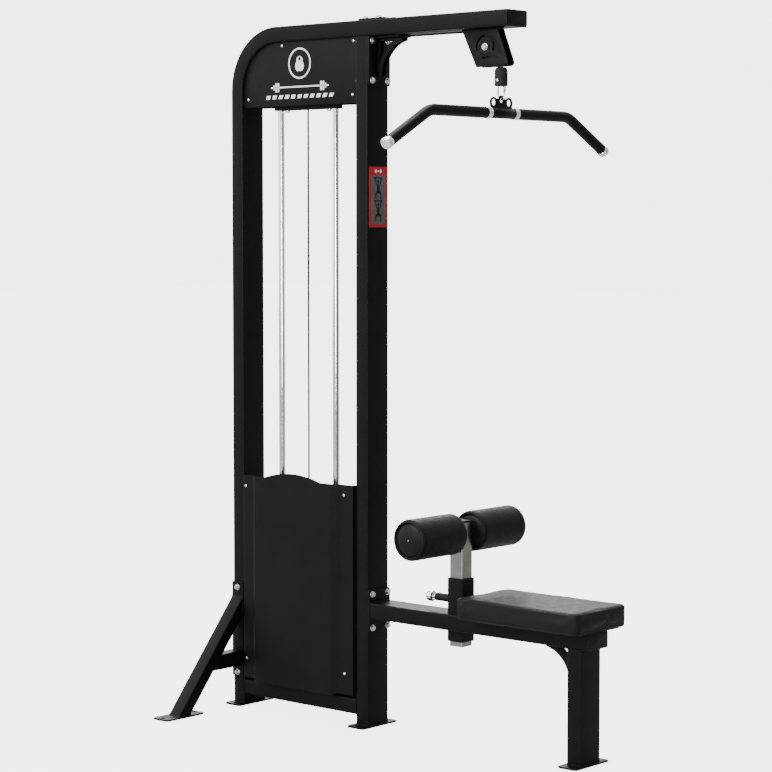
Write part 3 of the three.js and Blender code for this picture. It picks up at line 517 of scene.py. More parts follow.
bend_centre = Vector((main.x0 + BEND, 0, main.z1 - BEND))
bend_out = [Vector((a, 0, b)) for a, b in arc(0, 0, 1, math.pi, math.pi / 2, 16)]
main_frames = [((main.x0 + TUBE_T / 2, 0, main.z0), X, Y)]
main_frames += [(bend_centre + out * (BEND - TUBE_T / 2), -out, Y) for out in bend_out]
main_frames.append(((main.x1, 0, main.z1 - TUBE_T / 2), DOWN, Y))
piece("tower_and_beam_tube", hollow(TUBE_T / 2, main_frames), "main_tube")
fore_tube = upright(fore.x0, fore.x1, fore.z0, fore.z1)
piece("front_upright_tube", fore_tube, "front_upright")
floor_tube = level(floor_beam.x0, floor_beam.x1, floor_beam.z0, floor_beam.z1)
piece("bottom_beam_tube", floor_tube, "bottom_beam")
seat_tube = level(seat_beam.x0 + MOUNT_T, seat_beam.x1, seat_under, seat_top)
seat_tube = piece("seat_beam_tube", seat_tube, "seat_beam")


def cut_opening(obj, x0, y0, x1, y1, z0, z1):
    """takes an upright square opening out of a piece"""
    block = loft([[(x, y, z) for x, y in rect(x0, y0, x1, y1)] for z in (z0, z1)])
    cutter = add_object("opening", new_mesh("opening", block))
    cut = obj.modifiers.new("opening", "BOOLEAN")
    cut.operation = "DIFFERENCE"
    cut.solver = "EXACT"
    cut.object = cutter
    bpy.context.view_layer.objects.active = obj
    bpy.ops.object.modifier_apply(modifier=cut.name)
    bpy.data.objects.remove(cutter)


cut_opening(seat_tube, post.x0 - POST_GAP, post.y0 - POST_GAP, post.x1 + POST_GAP, post.y1 + POST_GAP,
            seat_under - 9 * MM, seat_top + 9 * MM)
piece("seat_beam_mount_plate", mount_plate(seat_beam))
post_tube = upright(seat_post.x0, seat_post.x1, seat_post.z0, seat_post.z1)
piece("seat_post_tube", post_tube, "seat_post")

for node, name in (("beam_end_cap", "beam_end_plug"), ("seat_beam_cap", "seat_beam_end_plug")):
    b = box(node)
    mid, half = b.z, (b.z1 - b.z0) / 2
    rings = []
    for inset, back in ((0, 3.7 * MM), (0, 1.6 * MM), (0.7 * MM, 0.5 * MM), (2.2 * MM, 0)):
        section = rounded(rect(-half + inset, b.y0 + inset, half - inset, b.y1 - inset), CORNER - inset * 0.5)
        rings.append([Vector((b.x1 - back, across, mid - down)) for down, across in section])
    piece(name, loft(rings), node, PLASTIC)

FOOT_HOLE_IN, FOOT_HOLE_R = 15 * MM, 6 * MM
for node in ("foot_rear", "foot_front", "foot_seat"):
    b = box(node)
    holes = [hole(b.x, y, FOOT_HOLE_R) for y in (b.y0 + FOOT_HOLE_IN, b.y1 - FOOT_HOLE_IN)]
    slab(f"{node[5:]}_foot_plate", node, "xy", 12, 0.8, holes=holes, steps=6)


# ---- side stabilisers
def between(section, origin, axes, direction, plane_low, plane_high):
    """a section carried along a direction and cut off by two planes, each (point, normal)"""
    direction = Vector(direction).normalized()
    rings = []
    for point, normal in (plane_low, plane_high):
        point, normal = Vector(point), Vector(normal)
        ring = []
        for a, b in section:
            p = Vector(origin) + Vector(axes[0]) * a + Vector(axes[1]) * b
            t = (point - p).dot(normal) / direction.dot(normal)
            ring.append(p + direction * t)
        rings.append(ring)
    return loft(rings)


FOOT_T = 6 * MM
FOOT_Y = 330 * MM
FOOT_HALF = 85 * MM
TILT = math.radians(39.3)
LEG_HALF = 21 * MM
stabiliser = box("stabiliser_far")
plate_y1 = stabiliser.y0 + 5.7 * MM
leg_x = main.x0 + TUBE_T / 2
leg_up = (0, -math.sin(TILT), math.cos(TILT))
leg_across = (0, math.cos(TILT), math.sin(TILT))
leg_section = rounded(rect(-TUBE_T / 2, -LEG_HALF, TUBE_T / 2, LEG_HALF), 4 * MM)
brace_section = rounded(rect(-TUBE_T / 2, 134 * MM, TUBE_T / 2, 184 * MM), 4 * MM)
brace_end = FOOT_Y - LEG_HALF / math.cos(TILT) + 1 * MM
at_side = ((0, plate_y1, 0), Y)
leg = between(leg_section, (leg_x, FOOT_Y, 0), (X, leg_across), leg_up, ((0, 0, FOOT_T), Z), at_side)
brace = between(brace_section, (leg_x, 0, 0), (X, Z), Y, at_side, ((0, brace_end, 0), leg_across))
side_outline = rounded(rect(main.x0, 97 * MM, main.x0 + TUBE_T, stabiliser.z1), 3 * MM)
side_plate = plate(side_outline, stabiliser.y0, plate_y1, "xz", 0.8 * MM)
foot_outline = rounded(rect(stabiliser.x0, FOOT_Y - FOOT_HALF, stabiliser.x1, FOOT_Y + FOOT_HALF), 12 * MM, 6)
foot_holes = [hole(leg_x, FOOT_Y + s * (FOOT_HALF - FOOT_HOLE_IN), FOOT_HOLE_R) for s in (-1, 1)]
side_foot = plate(foot_outline, 0.0, FOOT_T, "xy", 0.8 * MM, foot_holes)
count = len(leg_section)
leg_welds = merged(bead_round(leg[0][:count]), bead_round(leg[0][count:]))
for label, fit in (("near", mirrored), ("far", lambda part: part)):
    piece(f"stabiliser_{label}_leg", fit(leg), f"stabiliser_{label}", COAT)
    piece(f"stabiliser_{label}_brace", fit(brace))
    piece(f"stabiliser_{label}_side_plate", fit(side_plate))
    piece(f"stabiliser_{label}_foot", fit(side_foot))
    piece(f"stabiliser_{label}_welds", fit(leg_welds), sharp=80)

# ---- brackets and straps
RIB_Y, RIB_T = 8 * MM, 6 * MM                        # inner face and thickness of each rib
RIB_LENGTH, RIB_DEPTH, RIB_ARM = 106 * MM, 116 * MM, 8.7 * MM
RIB_OUT, RIB_DOWN = 123 * MM, 114 * MM               # centre of both curves, from the corner
RIB_CURVE, RIB_HOLE = 105 * MM, 119.5 * MM           # their radii
RIB_FLANGE = 3 * MM


def corner_ribs(corner_x, corner_z, facing):
    """two pierced ribs in a corner, facing +1 or -1 along x, with a flange along each arm"""
    tip = math.sqrt(RIB_CURVE ** 2 - (RIB_OUT - RIB_LENGTH) ** 2)
    outside = [(0, 0), (0, -RIB_DEPTH), (RIB_OUT - RIB_CURVE, -RIB_DEPTH)]
    outside += arc(RIB_OUT, -RIB_DOWN, RIB_CURVE, math.pi, math.atan2(tip, RIB_LENGTH - RIB_OUT))
    outside += [(RIB_LENGTH, 0)]
    reach = math.sqrt(RIB_HOLE ** 2 - (RIB_DOWN - RIB_ARM) ** 2)
    drop = math.sqrt(RIB_HOLE ** 2 - (RIB_OUT - RIB_ARM) ** 2)
    start, end = math.atan2(RIB_DOWN - RIB_ARM, -reach), math.atan2(drop, RIB_ARM - RIB_OUT)
    inside = [(RIB_ARM, -RIB_ARM)] + arc(RIB_OUT, -RIB_DOWN, RIB_HOLE, start, end)
    edge, opening = [[(corner_x + facing * a, corner_z + b) for a, b in loop] for loop in (outside, inside)]
    half = RIB_Y + RIB_T
    parts = [plate(edge, low, low + RIB_T, "xz", 0.6 * MM, [opening]) for low in (-half, RIB_Y)]
    x_low, x_high = sorted((corner_x, corner_x + facing * RIB_LENGTH))
    parts.append(plate(rect(x_low, -half, x_high, half), corner_z - RIB_FLANGE, corner_z, "xy", 0.4 * MM))
    x_low, x_high = sorted((corner_x, corner_x + facing * RIB_FLANGE))
    parts.append(plate(rect(-half, corner_z - RIB_DEPTH, half, corner_z), x_low, x_high, "yz", 0.4 * MM))
    return merged(*parts)


bracket = box("top_gusset")
flange_outline = rounded(rect(bracket.x0, -30 * MM, bracket.x1, 30 * MM), 4 * MM)
bracket_flange = plate(flange_outline, bracket.z1 - MOUNT_T, bracket.z1, "xy", 0.8 * MM)
piece("top_bracket_plate", mount_plate(bracket), "top_gusset")
piece("top_bracket_flange", bracket_flange)
piece("top_bracket_ribs", corner_ribs(bracket.x0 + MOUNT_T, bracket.z1 - MOUNT_T, 1))
seat_gusset = box("seat_gusset")
piece("seat_post_ribs", corner_ribs(seat_gusset.x1, seat_gusset.z1, -1), "seat_gusset")
clamp = box("beam_clamp_plate")
slab("beam_clamp", "beam_clamp_plate", "xy", 6, 0.9)


# ---- welds on the frame
def foot_weld(x0, x1, z):
    return bead_round([Vector((a, b, z)) for a, b in rounded(rect(x0, -HALF_W, x1, HALF_W), CORNER)])


def face_weld(x, z0, z1):
    return bead_round([Vector((x, a, b)) for a, b in rounded(rect(-HALF_W, z0, HALF_W, z1), CORNER)])


welds = merged(
    foot_weld(main.x0, main.x0 + TUBE_T, main.z0),
    foot_weld(fore.x0, fore.x1, main.z0),
    foot_weld(seat_post.x0, seat_post.x1, main.z0),
    face_weld(floor_beam.x0, floor_beam.z0, floor_beam.z1),
    face_weld(floor_beam.x1, floor_beam.z0, floor_beam.z1),
    face_weld(seat_beam.x0 + MOUNT_T, seat_under, seat_top),
    foot_weld(seat_post.x0, seat_post.x1, seat_post.z1),
)
piece("frame_weld_beads", welds, sharp=80)

# ---- guards and head panels
SKIN = 2 * MM
GUARD_Y = 74 * MM        # the raised face of a guard
FLANGE_Y = 60 * MM       # its side strips
RETURN_Y = 20 * MM       # where it turns in behind the uprights
ARCH = 20 * MM
HALF_CHORD = 124.5 * MM
SLOPE = 14 * MM
SLOT_HALF = 30 * MM
SLOT_LOW = 140 * MM


def fold(points):
    """an open plan line with its corners rounded"""
    out = [Vector(points[0])]
    for before, corner, after in zip(points, points[1:], points[2:]):
        to_before, to_after = before - corner, after - corner
        reach = min(4 * MM, 0.4 * to_before.length, 0.4 * to_after.length)
        out += eased(corner + to_before.normalized() * reach, corner, corner + to_after.normalized() * reach, 3)
    return out + [Vector(points[-1])]


def folded_sheet(profile, bottom, top, x_low=-1e3, x_high=1e3):
    """a thin sheet standing on a plan profile, with its top and bottom edges given as functions of x"""
    dense = []
    for a, b in zip(profile, profile[1:]):
        steps = max(1, int((b - a).length / (9 * MM)))
        dense += [a.lerp(b, k / steps) for k in range(steps)]
    dense.append(profile[-1])
    line = [p for p in dense if x_low <= p.x <= x_high]
    verts, faces = [], []
    for i, p in enumerate(line):
        along = (line[min(i + 1, len(line) - 1)] - line[max(i - 1, 0)]).normalized()
        q = p + Vector((-along.y, along.x)) * SKIN
        low, high = bottom(p.x), top(p.x)
        verts += [(p.x, p.y, low), (p.x, p.y, high), (q.x, q.y, high), (q.x, q.y, low)]
    for i in range(len(line) - 1):
        a, b = 4 * i, 4 * (i + 1)
        faces += [[a + k, b + k, b + (k + 1) % 4, a + (k + 1) % 4] for k in range(4)]
    faces.append([0, 1, 2, 3])
    end = 4 * (len(line) - 1)
    faces.append([end + 3, end + 2, end + 1, end])
    return verts, faces


guard = box("guard_near")
rise_x, fall_x = main.x0 + 107 * MM, main.x0 + 482 * MM
strip_x0, strip_x1 = main.x0 + 57 * MM, main.x0 + 550 * MM
inner_x0, inner_x1 = main.x0 + TUBE_T + 0.3 * MM, fore.x0 - 0.3 * MM
# the near guard's plan from left to right; the far one is this turned round
guard_plan = [
    (inner_x0, -5 * MM), (inner_x0, -RETURN_Y), (strip_x0, -RETURN_Y), (strip_x0, -FLANGE_Y), (rise_x, -FLANGE_Y),
    (rise_x + SLOPE, -GUARD_Y), (fall_x - SLOPE, -GUARD_Y), (fall_x, -FLANGE_Y), (strip_x1, -FLANGE_Y),
    (strip_x1, -RETURN_Y), (inner_x1, -RETURN_Y), (inner_x1, -5 * MM)]


def guard_top(top):
    """a level top edge with a shallow arch in the middle"""
    radius = (HALF_CHORD ** 2 + ARCH ** 2) / (2 * ARCH)

    def height(x):
        d = abs(x - (main.x0 + 294.5 * MM))
        if d >= HALF_CHORD:
            return top
        return top + ARCH - radius + math.sqrt(radius ** 2 - d ** 2)
    return height


def guard_bottom(x):
    share = max(0.0, min(1.0, (x - rise_x) / SLOPE, (fall_x - x) / SLOPE))
    return guard.z0 + 7 * MM * (1 - share)


near_line = fold([Vector(p) for p in guard_plan])
near_sheet = folded_sheet(near_line, guard_bottom, guard_top(guard.z1 - ARCH))
piece("guard_sheet_near", near_sheet, "guard_near", SHEET)
FAR_DROP = guard.z1 - box("guard_far").z1
stack_cable = box("cable_stack_drop")
stack_x = stack_cable.x
centre_x = (main.x0 + TUBE_T + fore.x0) / 2
slot_low_x = 2 * centre_x - (stack_x + SLOT_HALF)
slot_high_x = 2 * centre_x - (stack_x - SLOT_HALF)
far_line = []
for a, b in zip(near_line, near_line[1:]):
    far_line.append(a)
    for edge in (slot_low_x, slot_high_x):
        if a.x < edge < b.x and abs(a.y - b.y) < 1e-6:
            far_line.append(Vector((edge, a.y)))
far_line.append(near_line[-1])
far_top = guard_top(guard.z1 - ARCH - FAR_DROP)
far_verts, far_faces = merged(
    folded_sheet(far_line, guard_bottom, far_top, x_high=slot_low_x + 1e-6),
    folded_sheet(far_line, guard_bottom, lambda x: SLOT_LOW, slot_low_x - 1e-6, slot_high_x + 1e-6),
    folded_sheet(far_line, guard_bottom, far_top, x_low=slot_high_x - 1e-6),
)
far_sheet = ([(2 * centre_x - x, -y, z) for x, y, z in far_verts], far_faces)
piece("guard_sheet_far", far_sheet, "guard_far", SHEET)

near_panel = box("head_panel_near")
panel_y = near_panel.y0
panel_r = BEND - TUBE_T - 0.3 * MM
head_outline = [(near_panel.x0, near_panel.z0), (near_panel.x1, near_panel.z0), (near_panel.x1, near_panel.z1)]
head_outline += arc(near_panel.x0 + panel_r, near_panel.z1 - panel_r, panel_r, math.pi / 2, math.pi)
for label in ("near", "far"):
    panel = box(f"head_panel_{label}")
    cover = plate(head_outline, panel.y0, panel.y1, "xz", 0.4 * MM)
    piece(f"head_cover_{label}", cover, f"head_panel_{label}", SHEET)


# ---- the plain badge on the near head panel: a kettlebell in a ring, a barbell and a row of slanted dashes
def flat(outline, holes=()):
    return plate(outline, panel_y - 0.5 * MM, panel_y, "xz", 0.1 * MM, holes)


def weights_mark(cx, cz, half, bar, sizes, flat_fn):
    """a bar with upright plates at each end, as millimetres of (distance from the end, half width, half height)"""
    parts = [flat_fn(rect(cx - half, cz - bar, cx + half, cz + bar))]
    for side in (-1, 1):
        for offset, w, h in sizes:
            x, w, h = cx + side * (half - offset * MM), w * MM, h * MM
            parts.append(flat_fn(rounded(rect(x - w, cz - h, x + w, cz + h), w * 0.6, 3)))
    return merged(*parts)


def kettlebell(cx, cz, size):
    """a round weight with a flat foot and a looped handle"""
    right = arc(cx, cz, size, math.radians(-58), math.radians(48), 16)
    handle = arc(cx, cz + size * 0.95, size * 0.74, math.radians(-15), math.radians(195), 24)
    left = arc(cx, cz, size, math.radians(132), math.radians(238), 16)
    return flat(right + handle + left, [hole(cx, cz + size * 1.22, size * 0.32)])


BADGE_Z = 2128 * MM
DASHES, DASH_PITCH = 11, 28 * MM
ring = flat([(centre_x + a, BADGE_Z + b) for a, b in circle(50 * MM, 64)], [hole(centre_x, BADGE_Z, 44.5 * MM, 64)])
bell = kettlebell(centre_x, BADGE_Z - 9 * MM, 19 * MM)
barbell_plates = ((14, 2.6, 8), (23, 3.4, 15), (33, 3.4, 15))
barbell = weights_mark(centre_x, 2053 * MM, 128 * MM, 2.4 * MM, barbell_plates, flat)
dashes = []
for k in range(DASHES):
    x = centre_x + (k - (DASHES - 1) / 2) * DASH_PITCH
    dashes.append(flat([(x + a * MM, b * MM) for a, b in ((-11, 2016), (6, 2016), (11, 2028), (-6, 2028))]))
piece("head_badge", merged(ring, bell, barbell, *dashes), material=WHITE)

# ---- guide rods and their holder
ROD_OFFSET = 121 * MM
for label in ("rear", "front"):
    rod = box(f"guide_rod_{label}")
    height = (rod.z1 - rod.z0) / MM
    profile = [(0, 0), (8.8, 0), (10, 1.2), (10, height - 1.2), (8.8, height), (0, height)]
    rod_part = turned(profile, (rod.x, 0, rod.z0), Z)
    piece(f"chrome_rod_{label}", rod_part, f"guide_rod_{label}", CHROME)
holder = box("rod_bracket")
holder_holes = [hole(stack_x + x, 0, r * MM) for x, r in ((-ROD_OFFSET, 10.2), (0, 9), (ROD_OFFSET, 10.2))]
slab("rod_holder", "rod_bracket", "xy", 3, 1, holes=holder_holes)

# ---- pulleys and their cheeks
front_pulley, rear_pulley = box("front_pulley"), box("rear_pulley")
front_x = front_pulley.x
rear_x = rear_pulley.x
pulley_z = front_pulley.z
AXLE_HOLE = 6.3 * MM
SLOT_R, SLOT_W = 33 * MM, 3 * MM


def arc_slot(start, end):
    """a curved slot with round ends, about the front axle"""
    (head_x, head_z), (tail_x, tail_z) = [arc(front_x, pulley_z, SLOT_R, a, a, 1)[0] for a in (end, start)]
    points = arc(front_x, pulley_z, SLOT_R + SLOT_W, start, end, 16)
    points += arc(head_x, head_z, SLOT_W, end, end + math.pi, 8)[1:-1]
    points += arc(front_x, pulley_z, SLOT_R - SLOT_W, end, start, 16)
    points += arc(tail_x, tail_z, SLOT_W, start + math.pi, start + 2 * math.pi, 8)[1:-1]
    return points[::-1]


cheek = box("front_cheek_near")
cheek_corners = [(cheek.x0, cheek.z1), (cheek.x0 + 57 * MM, cheek.z0), (cheek.x1 + 1 * MM, cheek.z0),
                 (cheek.x1 - 45 * MM, cheek.z1)]
cheek_outline = rounded(cheek_corners, [0, 1.5 * MM, 14 * MM, 0], 8)[::-1]
cheek_holes = [hole(front_x, pulley_z, AXLE_HOLE)]
cheek_holes += [arc_slot(start, end) for start, end in ((1.65, 3.35), (-0.3, 0.33), (4.45, 5.05))]
for label in ("near", "far"):
    b = box(f"front_cheek_{label}")
    cheek_part = plate(cheek_outline, b.y0, b.y1, "xz", 0.7 * MM, cheek_holes)
    piece(f"pulley_cheek_{label}", cheek_part, f"front_cheek_{label}")
    b = box(f"rear_cheek_{label}")
    rear_outline = rounded([(b.x0, b.z0), (b.x1, b.z0), (b.x1, b.z1), (b.x0 + 50 * MM, b.z1)], 3 * MM, 3)
    rear_part = plate(rear_outline, b.y0, b.y1, "xz", 0.7 * MM, [hole(rear_x, pulley_z, AXLE_HOLE)])
    piece(f"rear_pulley_cheek_{label}", rear_part, f"rear_cheek_{label}")

wheel = [(6.8, -11), (16, -11), (18, -7), (37, -7), (39, -11), (54, -11), (55, -10), (55, -8.5), (47.5, -3.6),
         (46, -1.5), (46, 1.5), (47.5, 3.6), (55, 8.5), (55, 10), (54, 11), (39, 11), (37, 7), (18, 7), (16, 11),
         (6.8, 11), (6.8, -11)]
for label, x in (("front", front_x), ("rear", rear_x)):
    centre = (x, 0, pulley_z)
    piece(f"{label}_pulley_wheel", turned(wheel, centre, Y, 64), f"{label}_pulley", PLASTIC, f"{label}_wheel")
    shank = box(f"{label}_pulley_axle").y1 - 6 * MM
    end = shank / MM + 1
    heads = merged(
        bolt((x, -shank, pulley_z), NEAR, 9.5, 6, False),
        bolt((x, shank, pulley_z), Y, 9.5, 6, False),
        turned([(0, -end), (6, -end), (6, end), (0, end)], centre, Y, 24),
        turned([(0, 0), (11, 0), (11, 1.6), (10.4, 2), (0, 2)], (x, -shank, pulley_z), NEAR, 28),
    )
    piece(f"{label}_axle_bolt", heads, f"{label}_pulley_axle", ZINC)

# ---- cable
CABLE_R = 3 * MM
WRAP = 50 * MM
run = arc(rear_x, pulley_z, WRAP, math.pi, math.pi / 2, 16) + arc(front_x, pulley_z, WRAP, math.pi / 2, 0, 16)
over_pulleys = pipe([(x, 0, z) for x, z in run], CABLE_R, 12)
piece("cable_over_pulleys", over_pulleys, "cable_top_run", CABLE, sharp=80)


def straight_cable(node, name):
    """a hanging run in short lengths, with its two ends; it is attached to no body here"""
    b = box(node)
    x = b.x
    count = 60
    part = pipe([(x, 0, b.z1 - (b.z1 - b.z0) * k / count) for k in range(count + 1)], CABLE_R, 12)
    obj = add_object(name, new_mesh(name, part))
    for polygon in obj.data.polygons:
        polygon.use_smooth = True
    obj.data.materials.append(CABLE)
    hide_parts(node)
    return obj, Vector((x, 0, b.z0)), Vector((x, 0, b.z1))


bar_drop, low, high = straight_cable("cable_bar_drop", "cable_to_bar")
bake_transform(bar_drop)
stack_drop, low, high = straight_cable("cable_stack_drop", "cable_to_stack")
lift = [j for j in frame["joints"] if j["name"] == "stack_lift"][0]["range_m"][1]
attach(stack_drop, "frame")
1 - lift / (high.z - low.z)
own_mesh(stack_drop)

# ---- cable stop, ferrule and link
stop = box("cable_stop")
drop_x = stop.x
STOP_R, DOME_R, DOME_H = 20, 11, 13
height = (stop.z1 - stop.z0) / MM
stop_profile = [(17, 0), (STOP_R - 0.8, 0), (STOP_R, 0.9), (STOP_R, height - DOME_H)]
stop_profile += [(STOP_R - DOME_R + DOME_R * a, height - DOME_H + DOME_H * b)
                 for a, b in arc(0, 0, 1, 0, math.pi / 2, 8)[1:]]
stop_profile += [(0, height), (0, 32), (17, 32), (17, 0)]
piece("cable_stop_cup", turned(stop_profile, (drop_x, 0, stop.z0), Z, 48), "cable_stop", RUBBER, "swivel")
pin_z = stop.z0 + 17 * MM
cross = merged(turned([(0, -19), (3.5, -19), (3.5, 19), (0, 19)], (drop_x, 0, pin_z), Y, 20),
               dome_screw((drop_x, -19.5 * MM, pin_z), NEAR), dome_screw((drop_x, 19.5 * MM, pin_z), Y))
piece("cable_stop_pin", cross, material=ZINC, body="swivel")
ferrule = [(0, 0), (6, 0), (6, 2), (5.4, 3), (5.4, 5), (6, 6), (6, 8.2), (5, 9), (0, 9)]
ferrule_part = turned(ferrule, (drop_x, 0, box("cable_ferrule").z0), Z, 28)
piece("cable_swage", ferrule_part, "cable_ferrule", ZINC, "cable_end")
link = box("link")
LINK_R = 12 * MM
WIRE = 3.5 * MM
top_c, low_c = link.z1 - WIRE - LINK_R, link.z0 + WIRE + LINK_R
oval = arc(drop_x, top_c, LINK_R, 0, math.pi, 16) + arc(drop_x, low_c, LINK_R, math.pi, 2 * math.pi, 16)
link_part = closed_pipe([(x, 0, z) for x, z in oval], WIRE, 14, Y)
gate = [(0, -9), (4.8, -9), (5.1, -8), (5.1, 8), (4.8, 9), (0, 9)]
piece("snap_link", link_part, "link", CHROME, "swivel", sharp=80)
piece("snap_link_sleeve", turned(gate, (drop_x + LINK_R, 0, (top_c + low_c) / 2), Z, 6), material=CHROME, body="swivel")

# ---- ear plate with its sleeve
bar_z = box("lat_bar").z1 - 18 * MM
bar_centre = (drop_x, 0, bar_z)
EAR_Y, EAR_Z, EAR_R = 36.5 * MM, 1975.5 * MM, 16.5 * MM
EYE_Z, EYE_R = 1984.5 * MM, 13 * MM
EAR_T = 2.5 * MM         # half its thickness
LINK_EYE = 7 * MM
web_z = EAR_Z + 11.5 * MM
ear_in = math.asin((web_z - EAR_Z) / EAR_R)
eye_in = math.asin((web_z - EYE_Z) / EYE_R)
half_ear = [(48 * MM, bar_z)] + arc(EAR_Y, EAR_Z, EAR_R, -0.35, math.pi - ear_in, 24)
half_ear += arc(0, EYE_Z, EYE_R, eye_in, math.pi / 2, 10)
ear_outline = half_ear + [(-a, b) for a, b in half_ear[:-1]][::-1]
ear_holes = [hole(y, EAR_Z, 9.5 * MM) for y in (EAR_Y, -EAR_Y)]
ear_holes.append(hole(0, link.z0 + WIRE * 2 + 1 * MM - LINK_EYE, LINK_EYE))
ear_plate = plate(ear_outline, drop_x - EAR_T, drop_x + EAR_T, "yz", 0.9 * MM, ear_holes)
piece("ear_plate_body", ear_plate, "hanger", PAINT, "ear_plate")
hub = [(11.8, -55.4), (15.5, -55.4), (16.2, -54.4), (16.2, 54.4), (15.5, 55.4), (11.8, 55.4), (11.8, -55.4)]
piece("ear_plate_sleeve", turned(hub, bar_centre, Y, 48), body="ear_plate")
ear_welds = [bead([(x, y, bar_z + 16 * MM) for y in (-47 * MM, 47 * MM)], 2.2 * MM)
             for x in (drop_x - EAR_T - 0.5 * MM, drop_x + EAR_T + 0.5 * MM)]
piece("ear_plate_weld", merged(*ear_welds), body="ear_plate", sharp=80)

# ---- pull-down bar
BAR_R = 17 * MM
TIP = Vector((drop_x, 510 * MM, 1847 * MM))
BEND_Y = 332 * MM
BAR_BEND = 90 * MM
bar_angle = math.atan2(bar_z - TIP.z, TIP.y - BEND_Y)
bar_bend_y = BEND_Y - BAR_BEND * math.tan(bar_angle / 2)
arm = [(drop_x, y * MM, bar_z) for y in (73, 150, 240)]
arm += [(drop_x, bar_bend_y + BAR_BEND * math.sin(a), bar_z - BAR_BEND * (1 - math.cos(a)))
        for a in (bar_angle * k / 12 for k in range(13))]
arm_part = pipe(arm + [TIP], BAR_R, 40)
core = turned([(0, -78), (11, -78), (11, 78), (0, 78)], bar_centre, Y, 32)
piece("pull_down_bar", merged(arm_part, mirrored(arm_part), core), "lat_bar", COAT, "pull_bar", sharp=50)
collar = turned([(11, 56.3), (17, 56.3), (18, 57.3), (18, 60.5), (17.2, 61.3), (17.2, 62.3), (18, 63.1), (18, 73),
                 (17, 74), (11, 74)], bar_centre, Y, 48)
piece("bar_collars", merged(collar, mirrored(collar)), material=CHROME, body="pull_bar", sharp=30)
cap_profile = [(0, 0.3), (17.5, 0.3), (18, 0.8), (18, 16)] + arc(12, 16, 6, 0, math.pi / 2, 8)[1:] + [(0, 23.4)]
cap = turned(cap_profile, TIP, (0, math.cos(bar_angle), -math.sin(bar_angle)), 48)
piece("bar_end_cap_far", cap, "bar_cap_far", CHROME, "pull_bar", sharp=50)
piece("bar_end_cap_near", mirrored(cap), "bar_cap_near", CHROME, "pull_bar", sharp=50)

# ---- seat
slab("seat_base_plate", "seat_pan", "xy", 20, 0.8, steps=6)
SEAT_CORNER = 30 * MM
SWELL = 1.5 * MM
PRESSURE, CLOTH_FRAMES = 4.0, 20
pad = box("seat_pad")


def seat_outline(inset, z):
    ring = rounded(rect(pad.x0 + inset, pad.y0 + inset, pad.x1 - inset, pad.y1 - inset),
                   max(SEAT_CORNER - inset, 8 * MM), 8)
    return [Vector((a, b, z)) for a, b in ring]


def cushion_form(slack):
    """the cut shape before it is filled: upright walls, a narrow top edge and a drawn-in foot"""
    h = (pad.z1 - pad.z0 - slack) / MM
    wall = [(0, 6), (1.5, 3), (5, 1.2), (12, 0.3), (26, 0), (42, 0), (54, 0), (h - 4, 0), (h - 1.2, 1), (h, 3), (h, 30),
            (h, 70)]
    return loft([seat_outline(slack + inset * MM, pad.z0 + z * MM) for z, inset in wall])


def inflated(part, cap, voxel):
    """fills a closed form with cloth pressure; no point moves further than cap along each axis"""
    mesh = new_mesh("filling", part)
    obj = add_object("filling", mesh)
    bpy.context.view_layer.objects.active = obj
    remesh = obj.modifiers.new("remesh", "REMESH")
    remesh.mode = "VOXEL"
    remesh.voxel_size = voxel
    bpy.ops.object.modifier_apply(modifier=remesh.name)
    start = [v.co.copy() for v in obj.data.vertices]
    cloth = obj.modifiers.new("cloth", "CLOTH")
    cloth.settings.use_pressure = True
    cloth.settings.uniform_pressure_force = PRESSURE
    cloth.settings.effector_weights.gravity = 0
    cloth.settings.tension_stiffness = 40
    cloth.settings.compression_stiffness = 40
    cloth.settings.bending_stiffness = 10
    cloth.point_cache.frame_end = CLOTH_FRAMES
    scene = bpy.context.scene
    for frame_number in range(1, CLOTH_FRAMES + 1):
        scene.frame_set(frame_number)
    filled = obj.evaluated_get(bpy.context.evaluated_depsgraph_get())
    result = filled.to_mesh()
    verts = []
    for a, b in zip(start, result.vertices):
        verts.append(a + Vector([limit * math.tanh(step / limit) for step, limit in zip(b.co - a, cap)]))
    faces = [list(f.vertices) for f in result.polygons]
    filled.to_mesh_clear()
    scene.frame_set(1)
    bpy.data.objects.remove(obj)
    bpy.data.meshes.remove(mesh)
    return verts, faces


seat_form = inflated(cushion_form(SWELL), (3 * MM, 3 * MM, 1.6 * MM), 5 * MM)
seat_form = [Vector((v[0], v[1], max(v[2], pad.z0))) for v in seat_form[0]], seat_form[1]
cushion = piece("seat_cushion", seat_form, "seat_pad", LEATHER, sharp=70)
seat_skin = BVHTree.FromPolygons([tuple(v) for v in seat_form[0]], seat_form[1])


def seat_seam(name, z, inset, radius, sink):
    """a corded seam laid on the cushion all round"""
    loop = []
    for p in seat_outline(inset * MM, z):
        spot, normal = seat_skin.find_nearest(p)[:2]
        loop.append(tuple(spot - normal * sink * MM))
    piece(name, closed_pipe(loop, radius * MM, 8, Z), material=LEATHER, sharp=80)


seat_seam("seat_top_seam", pad.z1 - 4.5 * MM, 0.5, 1.1, 0.5)
seat_seam("seat_lower_piping", pad.z0 + 4 * MM, 2, 1.8, 0.8)

